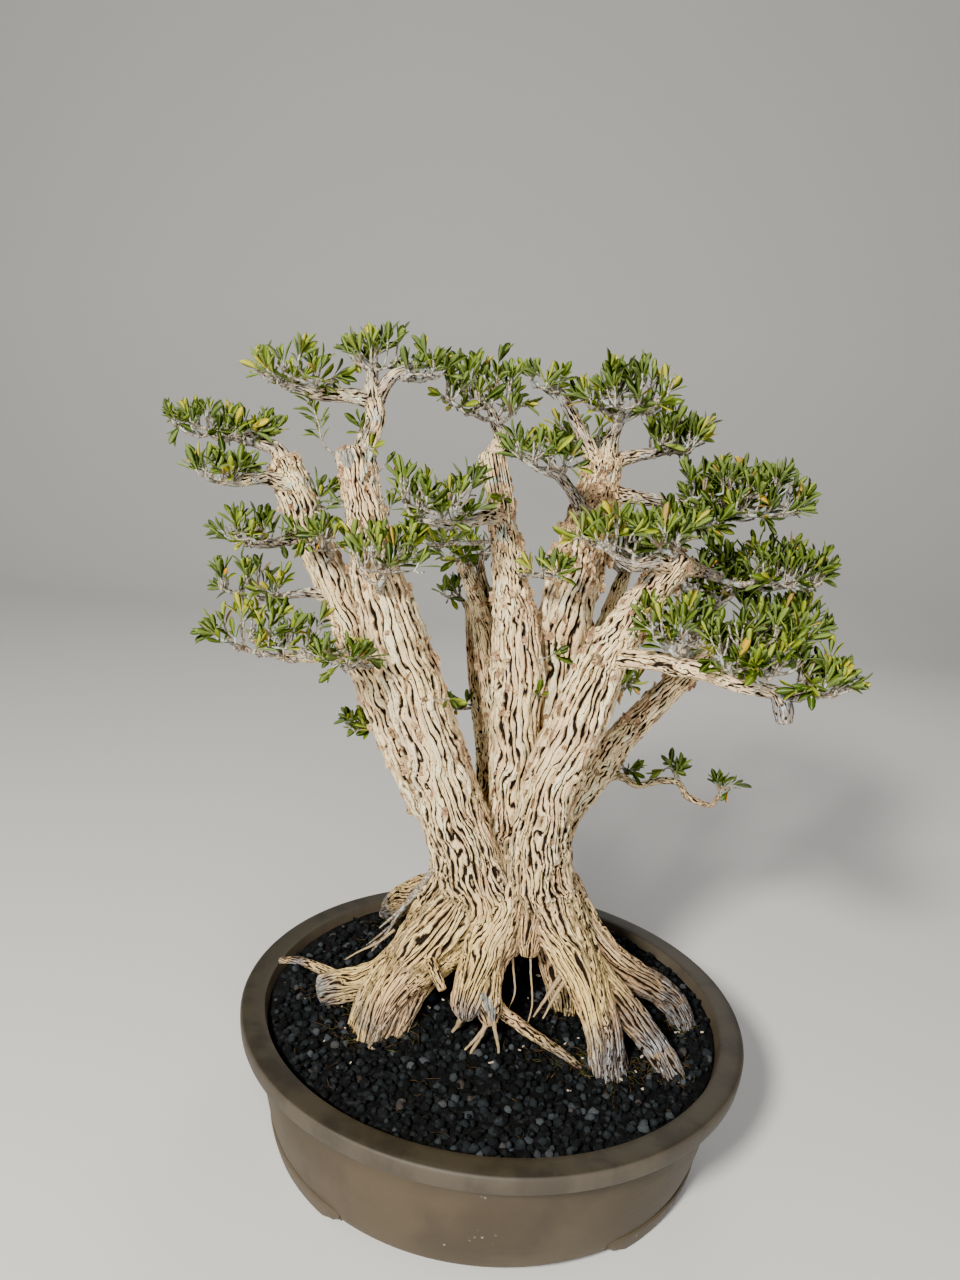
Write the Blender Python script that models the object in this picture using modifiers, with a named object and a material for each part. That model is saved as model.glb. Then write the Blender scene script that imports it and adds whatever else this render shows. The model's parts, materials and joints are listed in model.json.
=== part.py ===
# Boxwood bonsai in a round stoneware pot.
#
# The tree is laid out from the centre of the pot, on the surface that the pot stands on.
# +Z is up and the tree's front faces -Y. The crown leans over to the left, so at the end the
# whole plant is moved right until its bounding box is centred on the origin.
# Blender's unit is the metre; the lists of routes are in millimetres, because that is how
# a tree is measured, and MM turns them into metres.
#
# The pot is turned, the soil is a filled disc whose grains are raised by a formula, the
# trunk is one grown piece of fused stems, roots and branches, and every leafy spray is
# a twig frame with its blades fused on.

import math
import random

import bmesh
import bpy
from mathutils import Matrix, Vector, noise
from mathutils.bvhtree import BVHTree
from mathutils.geometry import delaunay_2d_cdt, intersect_point_line

MM = 0.001
GAP = 0.0003
MERGE = 0.00001
POT_OFFSET_X = 0.030

# Pot
POT_HEIGHT = 0.116
RIM_RADIUS = 0.220
RIM_INNER_RADIUS = 0.199
LIP_HEIGHT = 0.0165
BODY_TOP_RADIUS = 0.2025
BODY_MID_RADIUS = 0.1975
BODY_LOW_RADIUS = 0.1885
WALL = 0.012
BODY_UNDERSIDE = 0.008
FLOOR_TOP = 0.019
TURNED_SEGMENTS = 36
FOOT_COUNT = 3
FOOT_ARC = math.radians(54)
FOOT_FIRST_CENTRE = math.radians(-32)
FOOT_TOP = 0.020
FOOT_OUTER_RADIUS = 0.1910
FOOT_GROUND_RADIUS = 0.1830
FOOT_INNER_RADIUS = 0.1500
DRAIN_COUNT = 3
DRAIN_RADIUS = 0.016
DRAIN_CIRCLE = 0.085
SCREEN_SIDE = 0.048
SCREEN_THICKNESS = 0.0015
SCREEN_BAR = 0.0050
SCREEN_CELLS = 2

# Soil
SOIL_EDGE_HEIGHT = 0.110
SOIL_CROWN_HEIGHT = 0.114
GRAIN_SPACING = 0.0186
GRAIN_RELIEF = 0.0036
SOIL_CLEARANCE = 0.00045

# Wood
STEM_SIDES = 12
ROOT_SIDES = 10
BRANCH_SIDES = 5
BARK_RIDGE = 0.10
BARK_WANDER = 0.07

# Leaves
LEAF_LENGTH = 0.020
LEAF_WIDTH = 0.0078
LEAF_THICKNESS = 0.0008
TWIG_RADIUS = 0.0016
WIDE_SPRAY = 34
NARROW_SPRAY = 12
BLADE_STEP = 0.17

# Each route is a list of (x, y, z, radius) in millimetres, from the ground up.
STEMS = {
    "left_leader": [
        (-150, -18, 121, 8.5), (-126, -16, 126, 11), (-100, -21, 137, 13), (-78, -14, 158, 18),
        (-52, 4, 192, 24), (-41, 12, 232, 22), (-50, 12, 264, 20), (-64, 10, 290, 19),
        (-98, 12, 344, 18), (-153, 18, 451, 14.5), (-195, 20, 537, 14), (-210, 20, 571, 12.5)],
    "front_left_leader": [
        (-102, -74, 94, 10), (-97, -64, 116, 14), (-87, -50, 142, 18), (-68, -34, 167, 23),
        (-42, -22, 192, 27), (-22, -18, 218, 28), (-36, -20, 262, 27), (-55, -22, 316, 25),
        (-90, -32, 410, 22), (-109, -38, 455, 22), (-123, -40, 493, 18),
        (-130, -40, 528, 14.5), (-146, -36, 586, 13)],
    "middle_leader": [
        (-19, -78, 94, 9), (-17, -73, 116, 13), (-14, -66, 146, 17), (-10, -48, 178, 21),
        (-2, -18, 214, 26), (2, 2, 258, 24), (1, 8, 309, 19.5), (-2, 8, 372, 20),
        (-5, 8, 424, 19.5), (-12, 8, 466, 16.5), (-21, 6, 508, 12), (-28, 4, 544, 9.5),
        (-41, 2, 592, 10)],
    "rough_leader": [
        (42, 120, 94, 9), (39, 100, 130, 15), (35, 70, 170, 21), (31, 42, 208, 25),
        (31, 28, 252, 24), (30, 28, 304, 21), (30, 32, 413, 21),
        (33, 32, 461, 22), (39, 30, 510, 20), (47, 28, 557, 16), (53, 26, 596, 11)],
    "front_right_leader": [
        (95, -104, 94, 9), (90, -94, 115, 13), (83, -83, 142, 16), (69, -60, 172, 18),
        (50, -36, 198, 23), (35, -20, 228, 26), (28, -24, 262, 25), (26, -28, 292, 23),
        (32, -38, 347, 22), (47, -48, 401, 20.5), (58, -56, 445, 17.5), (77, -60, 483, 13.5),
        (106, -64, 530, 11)],
    "right_leader": [
        (174, -9, 94, 7), (166, -12, 119, 9), (148, -14, 141, 11), (116, -17, 159, 12.5),
        (86, -16, 179, 15), (58, -4, 207, 19), (38, 8, 242, 20), (36, 11, 264, 19),
        (44, 13, 294, 18), (66, 18, 324, 16), (94, 25, 362, 12),
        (141, 34, 417, 10), (166, 38, 436, 8.5), (186, 40, 450, 6.5)],
    "back_left_stem": [
        (-108, 150, 96, 8), (-101, 137, 126, 13), (-82, 108, 152, 15), (-50, 70, 182, 18),
        (-28, 50, 225, 20), (-18, 47, 284, 12), (-19, 60, 345, 8.5),
        (-40, 78, 446, 8), (-57, 84, 490, 6)],
    "heart_of_trunk": [(0, 12, 184, 26), (0, 8, 215, 37), (0, 6, 250, 34), (-4, 6, 284, 16)],
}

ROOTS = {
    "right_low_root": [
        (160, -91, 94, 7), (146, -82, 116, 9.5), (120, -69, 142, 11), (88, -50, 168, 13),
        (60, -28, 192, 15)],
    "back_right_root": [
        (100, 122, 94, 8), (86, 102, 128, 13), (64, 72, 160, 17), (42, 40, 195, 22),
        (32, 22, 235, 18)],
    "thin_root": [
        (82, -88, 100, 2.5), (64, -84, 117, 4), (43, -79, 127, 5), (24, -73, 136, 6),
        (4, -66, 150, 7), (-8, -54, 165, 8)],
    "dead_sliver": [
        (-118, 65, 112, 2), (-104, 68, 138, 4), (-84, 64, 172, 4.5), (-64, 48, 207, 4),
        (-44, 28, 225, 5)],
}

BRANCHES = {
    "limb_twig": [
        (-192, 1, 133, 1.6), (-175, -1, 136, 2.4), (-160, -5, 134, 3), (-142, -11, 129, 4),
        (-126, -15, 125, 5)],
    "root_peg": [(-45, -71, 158, 3), (-50, -62, 168, 4), (-62, -44, 180, 6)],
    "left_neck": [
        (-141, -37, 570, 9), (-135, -36, 596, 8), (-131, -36, 613, 7.5), (-133, -37, 628, 6.5)],
    "thin_back_stem": [
        (-20, 56, 330, 6), (-28, 84, 395, 5.2), (-35, 95, 455, 4.6), (-44, 98, 490, 3.6)],
    "far_back_stem": [
        (-20, 44, 262, 8), (-26, 88, 310, 6.4), (-37, 115, 357, 5.4), (-46, 130, 400, 4),
        (-52, 138, 438, 3)],
    "hidden_back_stem": [
        (34, 36, 250, 12), (48, 72, 320, 10), (66, 98, 400, 9), (80, 104, 455, 7.5),
        (88, 96, 492, 5.5)],
    "low_back_branch": [
        (38, 34, 262, 7), (70, 60, 290, 4.6), (101, 95, 299, 3.6), (125, 110, 287, 3.4),
        (151, 122, 289, 3.2), (169, 130, 285, 3), (181, 135, 270, 3), (205, 140, 261, 2.6),
        (214, 142, 272, 2)],
    "long_right_branch": [
        (58, -56, 447, 8), (86, -80, 453, 7.2), (106, -95, 454, 6.8), (125, -108, 454, 6.2),
        (146, -118, 450, 5.6), (169, -126, 448, 4.8), (184, -130, 447, 3.8)],
    "long_branch_knob": [(171, -127, 449, 4), (177, -131, 439, 7), (179, -132, 429, 5.5)],
    "top_left_limb": [(-133, -37, 624, 6), (-150, -40, 627, 5.4), (-172, -42, 626, 4.4)],
    "top_left_fork": [(-132, -36, 622, 6), (-123, -37, 640, 4.6), (-110, -35, 650, 3.6)],
    "far_left_limb": [(-209, 20, 566, 9), (-217, 23, 580, 6), (-232, 27, 584, 4.6)],
    "left_hook_limb": [(-200, 16, 552, 8), (-222, 2, 558, 5.2), (-240, -6, 554, 4)],
    "left_upper_limb": [(-182, 19, 514, 8), (-204, 10, 508, 4.2), (-218, 7, 504, 3.4)],
    "left_middle_limb": [(-160, 16, 464, 8), (-186, 9, 466, 3.6)],
    "left_low_limb": [(-130, 4, 416, 9), (-148, -44, 428, 5), (-165, -54, 427, 4)],
    "centre_left_limb": [(-27, 5, 543, 7), (-44, -24, 543, 5.2), (-62, -45, 538, 4.4)],
    "centre_top_limb": [(-40, 2, 586, 8), (-34, 0, 604, 6.4), (-39, -3, 615, 4.6)],
    "top_arch": [(47, 26, 586, 8), (31, 20, 612, 5.2), (20, 15, 628, 4.6), (9, 10, 643, 3.8)],
    "top_right_limb": [(53, 25, 592, 9), (55, 16, 614, 5)],
    "centre_front_limb": [(40, 18, 545, 9), (28, -28, 562, 4.8), (10, -55, 582, 3.8)],
    "right_top_limb": [(54, 26, 590, 8), (72, 28, 598, 5.2), (90, 30, 602, 4)],
    "front_top_limb": [(99, -63, 520, 9), (84, -80, 526, 5.2), (68, -87, 523, 4.4)],
    "right_upper_limb": [(48, 27, 568, 9), (80, 22, 566, 5.4), (110, 18, 564, 4.4)],
    "right_middle_limb": [(103, -62, 522, 9), (128, -20, 516, 5.2), (155, 10, 507, 4)],
    "back_top_limb": [(50, 30, 580, 8), (47, 62, 598, 4.6), (42, 78, 606, 3.8)],
}

# Each spray is (where its twig leaves the wood, the twig's route, half width, rise, blades),
# in millimetres.
SPRAYS = {
    "spray_top_left": (
        (-175, -42, 626), [(-190, -45, 629), (-201, -46, 633), (-212, -46, 640)], 34, 20, 11),
    "spray_top_left_fork": (
        (-108, -35, 652), [(-100, -33, 654), (-90, -32, 658)], 30, 22, 8),
    "spray_top_left_upright": (
        (-134, -37, 637), [(-136, -36, 650), (-130, -34, 664)], 22, 12, 5),
    "spray_far_left": (
        (-235, 28, 585), [(-258, 31, 589), (-283, 33, 592), (-308, 34, 597)], 36, 20, 13),
    "spray_left_hook": (
        (-243, -7, 554), [(-254, -10, 554), (-268, -12, 565)], 22, 22, 7),
    "spray_left_upper": (
        (-221, 6, 504), [(-236, 5, 503), (-251, 4, 507)], 22, 22, 6),
    "spray_left_middle": (
        (-189, 9, 466), [(-206, 9, 461), (-230, 8, 459), (-252, 7, 462)], 20, 24, 5),
    "spray_left_low": (
        (-168, -55, 427), [(-190, -60, 427), (-217, -62, 431), (-244, -60, 442)], 28, 22, 12),
    "spray_left_low_inner": (
        (-122, -66, 428), [(-128, -82, 434), (-142, -88, 440)], 20, 12, 5),
    "spray_on_break": (
        (-116, -64, 486), [(-114, -78, 500), (-104, -80, 514)], 30, 22, 8),
    "spray_behind_break": (
        (-165, -2, 500), [(-164, -16, 512), (-170, -24, 522)], 22, 20, 6),
    "spray_between_leaders": (
        (-178, 2, 540), [(-176, -8, 548), (-166, -12, 558)], 14, 10, 4),
    "sprig_on_cut": (
        (-162, -38, 582), [(-170, -40, 594), (-184, -41, 612)], 8, 6, 5),
    "spray_centre_left": (
        (-65, -47, 538), [(-80, -56, 540), (-96, -60, 547), (-102, -62, 562)], 28, 26, 9),
    "spray_centre_low": (
        (-42, 0, 520), [(-66, -18, 522), (-96, -28, 521)], 12, 10, 5),
    "spray_centre_top": (
        (-40, -5, 618), [(-46, -9, 630), (-54, -12, 644), (-60, -14, 655)], 34, 18, 10),
    "spray_top_arch": (
        (7, 9, 646), [(-4, 5, 652), (-12, 2, 660)], 18, 16, 5),
    "spray_top_right": (
        (56, 14, 618), [(62, 6, 634), (76, 0, 644), (90, -2, 652)], 38, 20, 12),
    "spray_centre_front": (
        (8, -57, 584), [(-6, -66, 588), (-18, -72, 597)], 28, 20, 7),
    "spray_right_top": (
        (93, 31, 603), [(108, 31, 609), (121, 30, 622)], 28, 20, 7),
    "spray_front_top": (
        (65, -88, 523), [(54, -92, 530), (42, -93, 540)], 30, 24, 8),
    "spray_right_upper": (
        (113, 18, 564), [(140, 14, 563), (174, 11, 562), (208, 8, 564)], 40, 30, 13),
    "spray_front_top_right": (
        (102, -73, 531), [(100, -80, 540), (94, -84, 548)], 24, 20, 6),
    "spray_right_middle": (
        (157, 12, 506), [(180, 26, 501), (208, 32, 502), (240, 32, 512)], 30, 24, 9),
    "spray_right_low": (
        (188, 40, 452), [(206, 33, 462), (224, 22, 468), (243, 16, 474)], 36, 20, 10),
    "spray_long_branch_inner": (
        (112, -100, 463), [(110, -104, 474), (102, -104, 488)], 28, 20, 8),
    "spray_long_branch_middle": (
        (150, -120, 457), [(152, -124, 472), (162, -126, 486)], 30, 20, 8),
    "spray_long_branch_tip": (
        (187, -131, 447), [(198, -130, 454), (208, -128, 463)], 24, 22, 6),
    "spray_back_stem": (
        (-58, 85, 493), [(-66, 86, 502), (-74, 88, 508)], 22, 12, 4),
    "spray_thin_stem": (
        (-45, 99, 493), [(-42, 104, 502), (-34, 110, 512)], 20, 12, 4),
    "spray_far_stem": (
        (-53, 139, 441), [(-58, 142, 452), (-66, 144, 462)], 24, 14, 4),
    "spray_far_stem_low": (
        (-44, 112, 345), [(-54, 112, 350), (-60, 110, 358)], 10, 8, 3),
    "spray_hidden_back": (
        (89, 95, 495), [(92, 92, 505), (84, 94, 518), (78, 104, 528)], 30, 16, 6),
    "spray_hidden_back_low": (
        (72, 112, 396), [(90, 120, 390), (108, 124, 382)], 24, 14, 4),
    "spray_back_top": (
        (42, 81, 607), [(38, 92, 612), (30, 108, 618)], 32, 18, 8),
    "spray_low_back_near": (
        (112, 104, 298), [(116, 106, 306)], 8, 10, 3),
    "spray_low_back_middle": (
        (166, 129, 290), [(168, 130, 302)], 8, 12, 4),
    "spray_low_back_tip": (
        (215, 143, 275), [(218, 144, 284)], 8, 10, 3),
    "spray_back_left_low": (
        (-118, 40, 345), [(-136, 70, 338), (-152, 96, 336)], 14, 10, 3),
    "sprout_on_front_left": (
        (-62, -56, 402), [(-60, -64, 405)], 4, 3, 3),
    "sprout_on_middle": (
        (10, -20, 400), [(14, -30, 404)], 4, 4, 4),
    "sprout_above_middle": (
        (18, -22, 432), [(22, -30, 438)], 4, 4, 4),
    "sprout_on_front_right": (
        (72, -78, 470), [(74, -86, 474)], 4, 4, 4),
    "sprout_between_tops": (
        (14, -20, 500), [(14, -34, 506), (16, -38, 514)], 20, 12, 4),
}


def clear_scene():
    for scene_object in list(bpy.data.objects):
        bpy.data.objects.remove(scene_object, do_unlink=True)


def make_collection(name):
    collection = bpy.data.collections.new(name)
    bpy.context.scene.collection.children.link(collection)
    return collection


def make_material(name, colour, roughness):
    material = bpy.data.materials.new(name)
    material.use_nodes = True
    shader = material.node_tree.nodes["Principled BSDF"]
    shader.inputs["Base Color"].default_value = (*colour, 1.0)
    shader.inputs["Roughness"].default_value = roughness
    shader.inputs["Metallic"].default_value = 0.0
    return material


def add_object(name, mesh, collection, material=None):
    new_object = bpy.data.objects.new(name, mesh)
    collection.objects.link(new_object)
    if material is not None:
        mesh.materials.clear()
        mesh.materials.append(material)
    return new_object


def evaluated_mesh(source):
    depsgraph = bpy.context.evaluated_depsgraph_get()
    depsgraph.update()
    return bpy.data.meshes.new_from_object(source.evaluated_get(depsgraph))


def weld(mesh):
    work = bmesh.new()
    work.from_mesh(mesh)
    bmesh.ops.remove_doubles(work, verts=work.verts, dist=MERGE)
    bmesh.ops.recalc_face_normals(work, faces=work.faces)
    work.to_mesh(mesh)
    work.free()


def apply_modifiers(target):
    material = target.data.materials[0] if target.data.materials else None
    mesh = evaluated_mesh(target)
    target.modifiers.clear()
    target.data = mesh
    if material is not None:
        mesh.materials.clear()
        mesh.materials.append(material)


def remove_objects(objects):
    for old in list(objects):
        bpy.data.objects.remove(old, do_unlink=True)


def combine(target, operation, helpers, solver="EXACT"):
    """Join or cut the target with every object of a helper collection, and apply it."""
    boolean = target.modifiers.new(operation.title(), "BOOLEAN")
    boolean.operation = operation
    boolean.operand_type = "COLLECTION"
    boolean.collection = helpers
    boolean.solver = solver
    apply_modifiers(target)
    remove_objects(helpers.objects)
    bpy.data.collections.remove(helpers)


def hide_as_cutter(cutter):
    cutter.hide_render = True
    cutter.display_type = "WIRE"


def metres(point):
    return Vector(point[:3]) * MM


def smooth_route(route, samples_per_span):
    """Read (point, radius) pairs from a smooth curve through a route's own points."""
    ends = [route[0], *route, route[-1]]
    sampled = []
    for span in range(len(route) - 1):
        before, start, end, after = ends[span:span + 4]
        for step in range(samples_per_span):
            t = step / samples_per_span
            values = []
            for b, s, e, a in zip(before, start, end, after):
                values.append(0.5 * (2 * s + (e - b) * t + (2 * b - 5 * s + 4 * e - a) * t * t
                                     + (3 * s - b - 3 * e + a) * t ** 3))
            sampled.append((Vector(values[:3]) * MM, values[3] * MM))
    sampled.append((metres(route[-1]), route[-1][3] * MM))
    return sampled


def make_profile(name, sides, ridge, draw, collection):
    """A closed outline of radius 1 whose corners stand in and out like bark ridges."""
    curve = bpy.data.curves.new(name, "CURVE")
    curve.dimensions = "2D"
    spline = curve.splines.new("POLY")
    spline.points.add(sides - 1)
    for index, point in enumerate(spline.points):
        angle = math.tau * index / sides
        swing = ridge if index % 2 else -ridge
        radius = 1 + swing * draw.uniform(0.5, 1.2) if ridge else 1.0
        point.co = (radius * math.cos(angle), radius * math.sin(angle), 0, 1)
    spline.use_cyclic_u = True
    profile = bpy.data.objects.new(name, curve)
    collection.objects.link(profile)
    hide_as_cutter(profile)
    return profile


def make_tube(name, samples, profile, collection, wander=0.0, grow=0.0):
    """Sweep a profile along (point, radius) samples, closed by caps.

    wander moves the skin in and out by that share of the radius, and grow moves all of it
    outwards, for the hole that the same tube stands in.
    """
    curve = bpy.data.curves.new(name, "CURVE")
    curve.dimensions = "3D"
    curve.bevel_mode = "OBJECT"
    curve.bevel_object = profile
    curve.use_fill_caps = True
    spline = curve.splines.new("POLY")
    spline.points.add(len(samples) - 1)
    for point, (centre, radius) in zip(spline.points, samples):
        point.co = (*centre, 1)
        point.radius = radius
    swept = bpy.data.objects.new(name, curve)
    collection.objects.link(swept)
    mesh = evaluated_mesh(swept)
    remove_objects([swept])
    weld(mesh)
    shape_skin(mesh, samples, wander, grow)
    return add_object(name, mesh, collection)


def shape_skin(mesh, samples, wander, grow):
    if not wander and not grow:
        return
    centres = [centre for centre, radius in samples]
    for vertex in mesh.vertices:
        nearest = min(range(len(centres)), key=lambda i: (centres[i] - vertex.co).length_squared)
        outward = vertex.co - centres[nearest]
        distance = outward.length
        if distance < MERGE:
            continue
        outward /= distance
        swell = wander * distance * noise.noise(vertex.co * 45.0)
        vertex.co += outward * (swell + grow)
        if grow and nearest in (0, len(centres) - 1):
            inner = centres[1] if nearest == 0 else centres[-2]
            vertex.co += (centres[nearest] - inner).normalized() * grow


def pot_outer_profile():
    lip_bottom = POT_HEIGHT - LIP_HEIGHT
    return [
        (RIM_INNER_RADIUS + 0.001, POT_HEIGHT),
        (RIM_RADIUS - 0.0015, POT_HEIGHT),
        (RIM_RADIUS, POT_HEIGHT - 0.0015),
        (RIM_RADIUS - 0.0005, lip_bottom + 0.0015),
        (RIM_RADIUS - 0.0020, lip_bottom),
        (BODY_TOP_RADIUS, lip_bottom - 0.0025),
        (BODY_MID_RADIUS + 0.0025, POT_HEIGHT * 0.58),
        (BODY_MID_RADIUS - 0.0025, POT_HEIGHT * 0.36),
        (BODY_LOW_RADIUS, BODY_UNDERSIDE + 0.009),
        (BODY_LOW_RADIUS - 0.0045, BODY_UNDERSIDE + 0.0015),
        (BODY_LOW_RADIUS - 0.0085, BODY_UNDERSIDE),
        (0.0, BODY_UNDERSIDE),
    ]


def pot_inner_profile():
    """The pot's inside, from the middle of its floor up to the rim."""
    return [
        (0.0, FLOOR_TOP),
        (BODY_LOW_RADIUS - WALL - 0.012, FLOOR_TOP),
        (BODY_LOW_RADIUS - WALL, FLOOR_TOP + 0.010),
        (BODY_MID_RADIUS - WALL, POT_HEIGHT * 0.50),
        (BODY_TOP_RADIUS - WALL, POT_HEIGHT - LIP_HEIGHT - 0.008),
        (RIM_INNER_RADIUS - 0.0005, POT_HEIGHT - 0.0050),
        (RIM_INNER_RADIUS, POT_HEIGHT - 0.0010),
    ]


def turn_profile(name, profile, collection):
    """Turn an (x, z) profile about the Z axis with a Screw modifier, and apply it."""
    mesh = bpy.data.meshes.new(name)
    points = [(x, 0.0, z) for x, z in profile]
    mesh.from_pydata(points, [(i, i + 1) for i in range(len(points) - 1)], [])
    turned = add_object(name, mesh, collection)
    screw = turned.modifiers.new("Turn", "SCREW")
    screw.steps = TURNED_SEGMENTS
    screw.render_steps = TURNED_SEGMENTS
    screw.use_merge_vertices = True
    screw.merge_threshold = MERGE
    apply_modifiers(turned)
    weld(turned.data)
    return turned


def turned_arc(name, section, start, arc, steps, collection):
    """Spin a closed (x, z) section through an arc, and close its two ends."""
    work = bmesh.new()
    rings = []
    corners = [work.verts.new((x, 0.0, z)) for x, z in section]
    bmesh.ops.rotate(work, verts=corners, cent=(0, 0, 0), matrix=Matrix.Rotation(start, 3, "Z"))
    edges = [work.edges.new((corners[i], corners[i - 1])) for i in range(len(corners))]
    rings.append(list(corners))
    spun = bmesh.ops.spin(work, geom=corners + edges, cent=(0, 0, 0), axis=(0, 0, 1),
                          angle=arc, steps=steps, use_duplicate=False)
    last = {item for item in spun["geom_last"] if isinstance(item, bmesh.types.BMVert)}
    end_edges = [edge for edge in work.edges if edge.verts[0] in last and edge.verts[1] in last]
    bmesh.ops.contextual_create(work, geom=end_edges)
    work.faces.new(rings[0])
    bmesh.ops.recalc_face_normals(work, faces=work.faces)
    mesh = bpy.data.meshes.new(name)
    work.to_mesh(mesh)
    work.free()
    return add_object(name, mesh, collection)


def drain_centres():
    centres = []
    for index in range(DRAIN_COUNT):
        angle = FOOT_FIRST_CENTRE + math.tau * (index + 0.5) / DRAIN_COUNT
        centres.append(Vector((DRAIN_CIRCLE * math.cos(angle), DRAIN_CIRCLE * math.sin(angle), 0)))
    return centres


def make_foot(name, centre_angle, collection):
    """A low applied foot: its ends step down from the ground like a cloud foot."""
    section = [
        (FOOT_OUTER_RADIUS - 0.0050, FOOT_TOP),
        (FOOT_OUTER_RADIUS, FOOT_TOP - 0.0025),
        (FOOT_OUTER_RADIUS - 0.0010, FOOT_TOP - 0.0070),
        (FOOT_GROUND_RADIUS, 0.0),
        (FOOT_INNER_RADIUS, 0.0),
        (FOOT_INNER_RADIUS - 0.0020, BODY_UNDERSIDE + 0.004),
        (FOOT_OUTER_RADIUS - 0.0120, FOOT_TOP - 0.002),
    ]
    return turned_arc(name, section, centre_angle - FOOT_ARC / 2, FOOT_ARC, 7, collection)


def make_pot(parts, material):
    profile = pot_inner_profile() + pot_outer_profile()
    pot = turn_profile("pot", profile, parts)
    pot.data.materials.append(material)
    feet = make_collection("feet")
    for index in range(FOOT_COUNT):
        make_foot(f"foot_{index + 1}", FOOT_FIRST_CENTRE + math.tau * index / FOOT_COUNT, feet)
    combine(pot, "UNION", feet)
    drills = make_collection("drills")
    for centre in drain_centres():
        bpy.ops.mesh.primitive_cylinder_add(vertices=16, radius=DRAIN_RADIUS, depth=0.04,
                                            location=(centre.x, centre.y, FLOOR_TOP))
        drill = bpy.context.active_object
        hide_as_cutter(drill)
        for owner in list(drill.users_collection):
            owner.objects.unlink(drill)
        drills.objects.link(drill)
    combine(pot, "DIFFERENCE", drills)
    pot.data.shade_smooth()
    pot.data.set_sharp_from_angle(angle=math.radians(35))
    return pot


def box_between(name, low, high, collection):
    bpy.ops.mesh.primitive_cube_add(size=1)
    box = bpy.context.active_object
    box.name = name
    size = Vector(high) - Vector(low)
    box.data.transform(Matrix.Diagonal((*size, 1.0)))
    box.data.transform(Matrix.Translation((Vector(low) + Vector(high)) / 2))
    for owner in list(box.users_collection):
        owner.objects.unlink(box)
    collection.objects.link(box)
    return box


def make_screen(name, centre, parts, material):
    """A drain screen: a square of coarse plastic net that keeps the soil in."""
    half = SCREEN_SIDE / 2
    bottom = FLOOR_TOP + GAP
    low = (centre.x - half, centre.y - half, bottom)
    high = (centre.x + half, centre.y + half, bottom + SCREEN_THICKNESS)
    screen = box_between(name, low, high, parts)
    screen.data.materials.append(material)
    cell = (SCREEN_SIDE - SCREEN_BAR) / SCREEN_CELLS
    openings = make_collection("net_openings")
    for row in range(SCREEN_CELLS):
        for column in range(SCREEN_CELLS):
            x = low[0] + SCREEN_BAR + cell * column
            y = low[1] + SCREEN_BAR + cell * row
            hole = box_between("net_opening", (x, y, bottom - 0.001),
                               (x + cell - SCREEN_BAR, y + cell - SCREEN_BAR,
                                bottom + SCREEN_THICKNESS + 0.001), openings)
            hide_as_cutter(hole)
    combine(screen, "DIFFERENCE", openings)
    return screen


def soil_height(x, y):
    """The mound of the soil without its grains."""
    share = min(1.0, math.hypot(x, y) / RIM_INNER_RADIUS)
    return SOIL_CROWN_HEIGHT + (SOIL_EDGE_HEIGHT - SOIL_CROWN_HEIGHT) * share * share


def soil_side_profile():
    """The pot's inside drawn in by the clearance, from the floor up to the soil's edge."""
    side = []
    for radius, height in pot_inner_profile()[1:5]:
        side.append((radius - SOIL_CLEARANCE, height + SOIL_CLEARANCE))
    side.append((RIM_INNER_RADIUS - 0.0032, SOIL_EDGE_HEIGHT))
    return side


def make_soil(parts, material):
    """A filled disc whose top is a net of grains, each corner raised or sunk by a draw."""
    draw = random.Random(11)
    side = soil_side_profile()
    edge_radius = side[-1][0]
    flat_points = []
    for index in range(TURNED_SEGMENTS):
        angle = math.tau * index / TURNED_SEGMENTS
        flat_points.append(Vector((edge_radius * math.cos(angle), edge_radius * math.sin(angle))))
    row_step = GRAIN_SPACING * math.sqrt(3) / 2
    rows = int(edge_radius / row_step) + 1
    for row in range(-rows, rows + 1):
        shift = GRAIN_SPACING / 2 if row % 2 else 0.0
        for column in range(-rows, rows + 1):
            x = column * GRAIN_SPACING + shift + draw.uniform(-0.2, 0.2) * GRAIN_SPACING
            y = row * row_step + draw.uniform(-0.2, 0.2) * GRAIN_SPACING
            if math.hypot(x, y) < edge_radius - GRAIN_SPACING * 0.55:
                flat_points.append(Vector((x, y)))
    border = [(i, (i + 1) % TURNED_SEGMENTS) for i in range(TURNED_SEGMENTS)]
    flat, edges, faces = delaunay_2d_cdt(flat_points, border, [], 1, 1e-7)[:3]
    work = bmesh.new()
    top = []
    for index, point in enumerate(flat):
        relief = 0.0 if index < TURNED_SEGMENTS else draw.uniform(-1, 1) * GRAIN_RELIEF
        top.append(work.verts.new((point.x, point.y, soil_height(point.x, point.y) + relief)))
    for face in faces:
        work.faces.new([top[i] for i in face])
    upper = top[:TURNED_SEGMENTS]
    for radius, height in reversed(side[:-1]):
        lower = []
        for index in range(TURNED_SEGMENTS):
            angle = math.tau * index / TURNED_SEGMENTS
            lower.append(work.verts.new((radius * math.cos(angle), radius * math.sin(angle), height)))
        for index in range(TURNED_SEGMENTS):
            after = (index + 1) % TURNED_SEGMENTS
            work.faces.new((upper[index], upper[after], lower[after], lower[index]))
        upper = lower
    work.faces.new(upper)
    bmesh.ops.recalc_face_normals(work, faces=work.faces)
    mesh = bpy.data.meshes.new("soil")
    work.to_mesh(mesh)
    work.free()
    return add_object("soil", mesh, parts, material)


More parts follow.
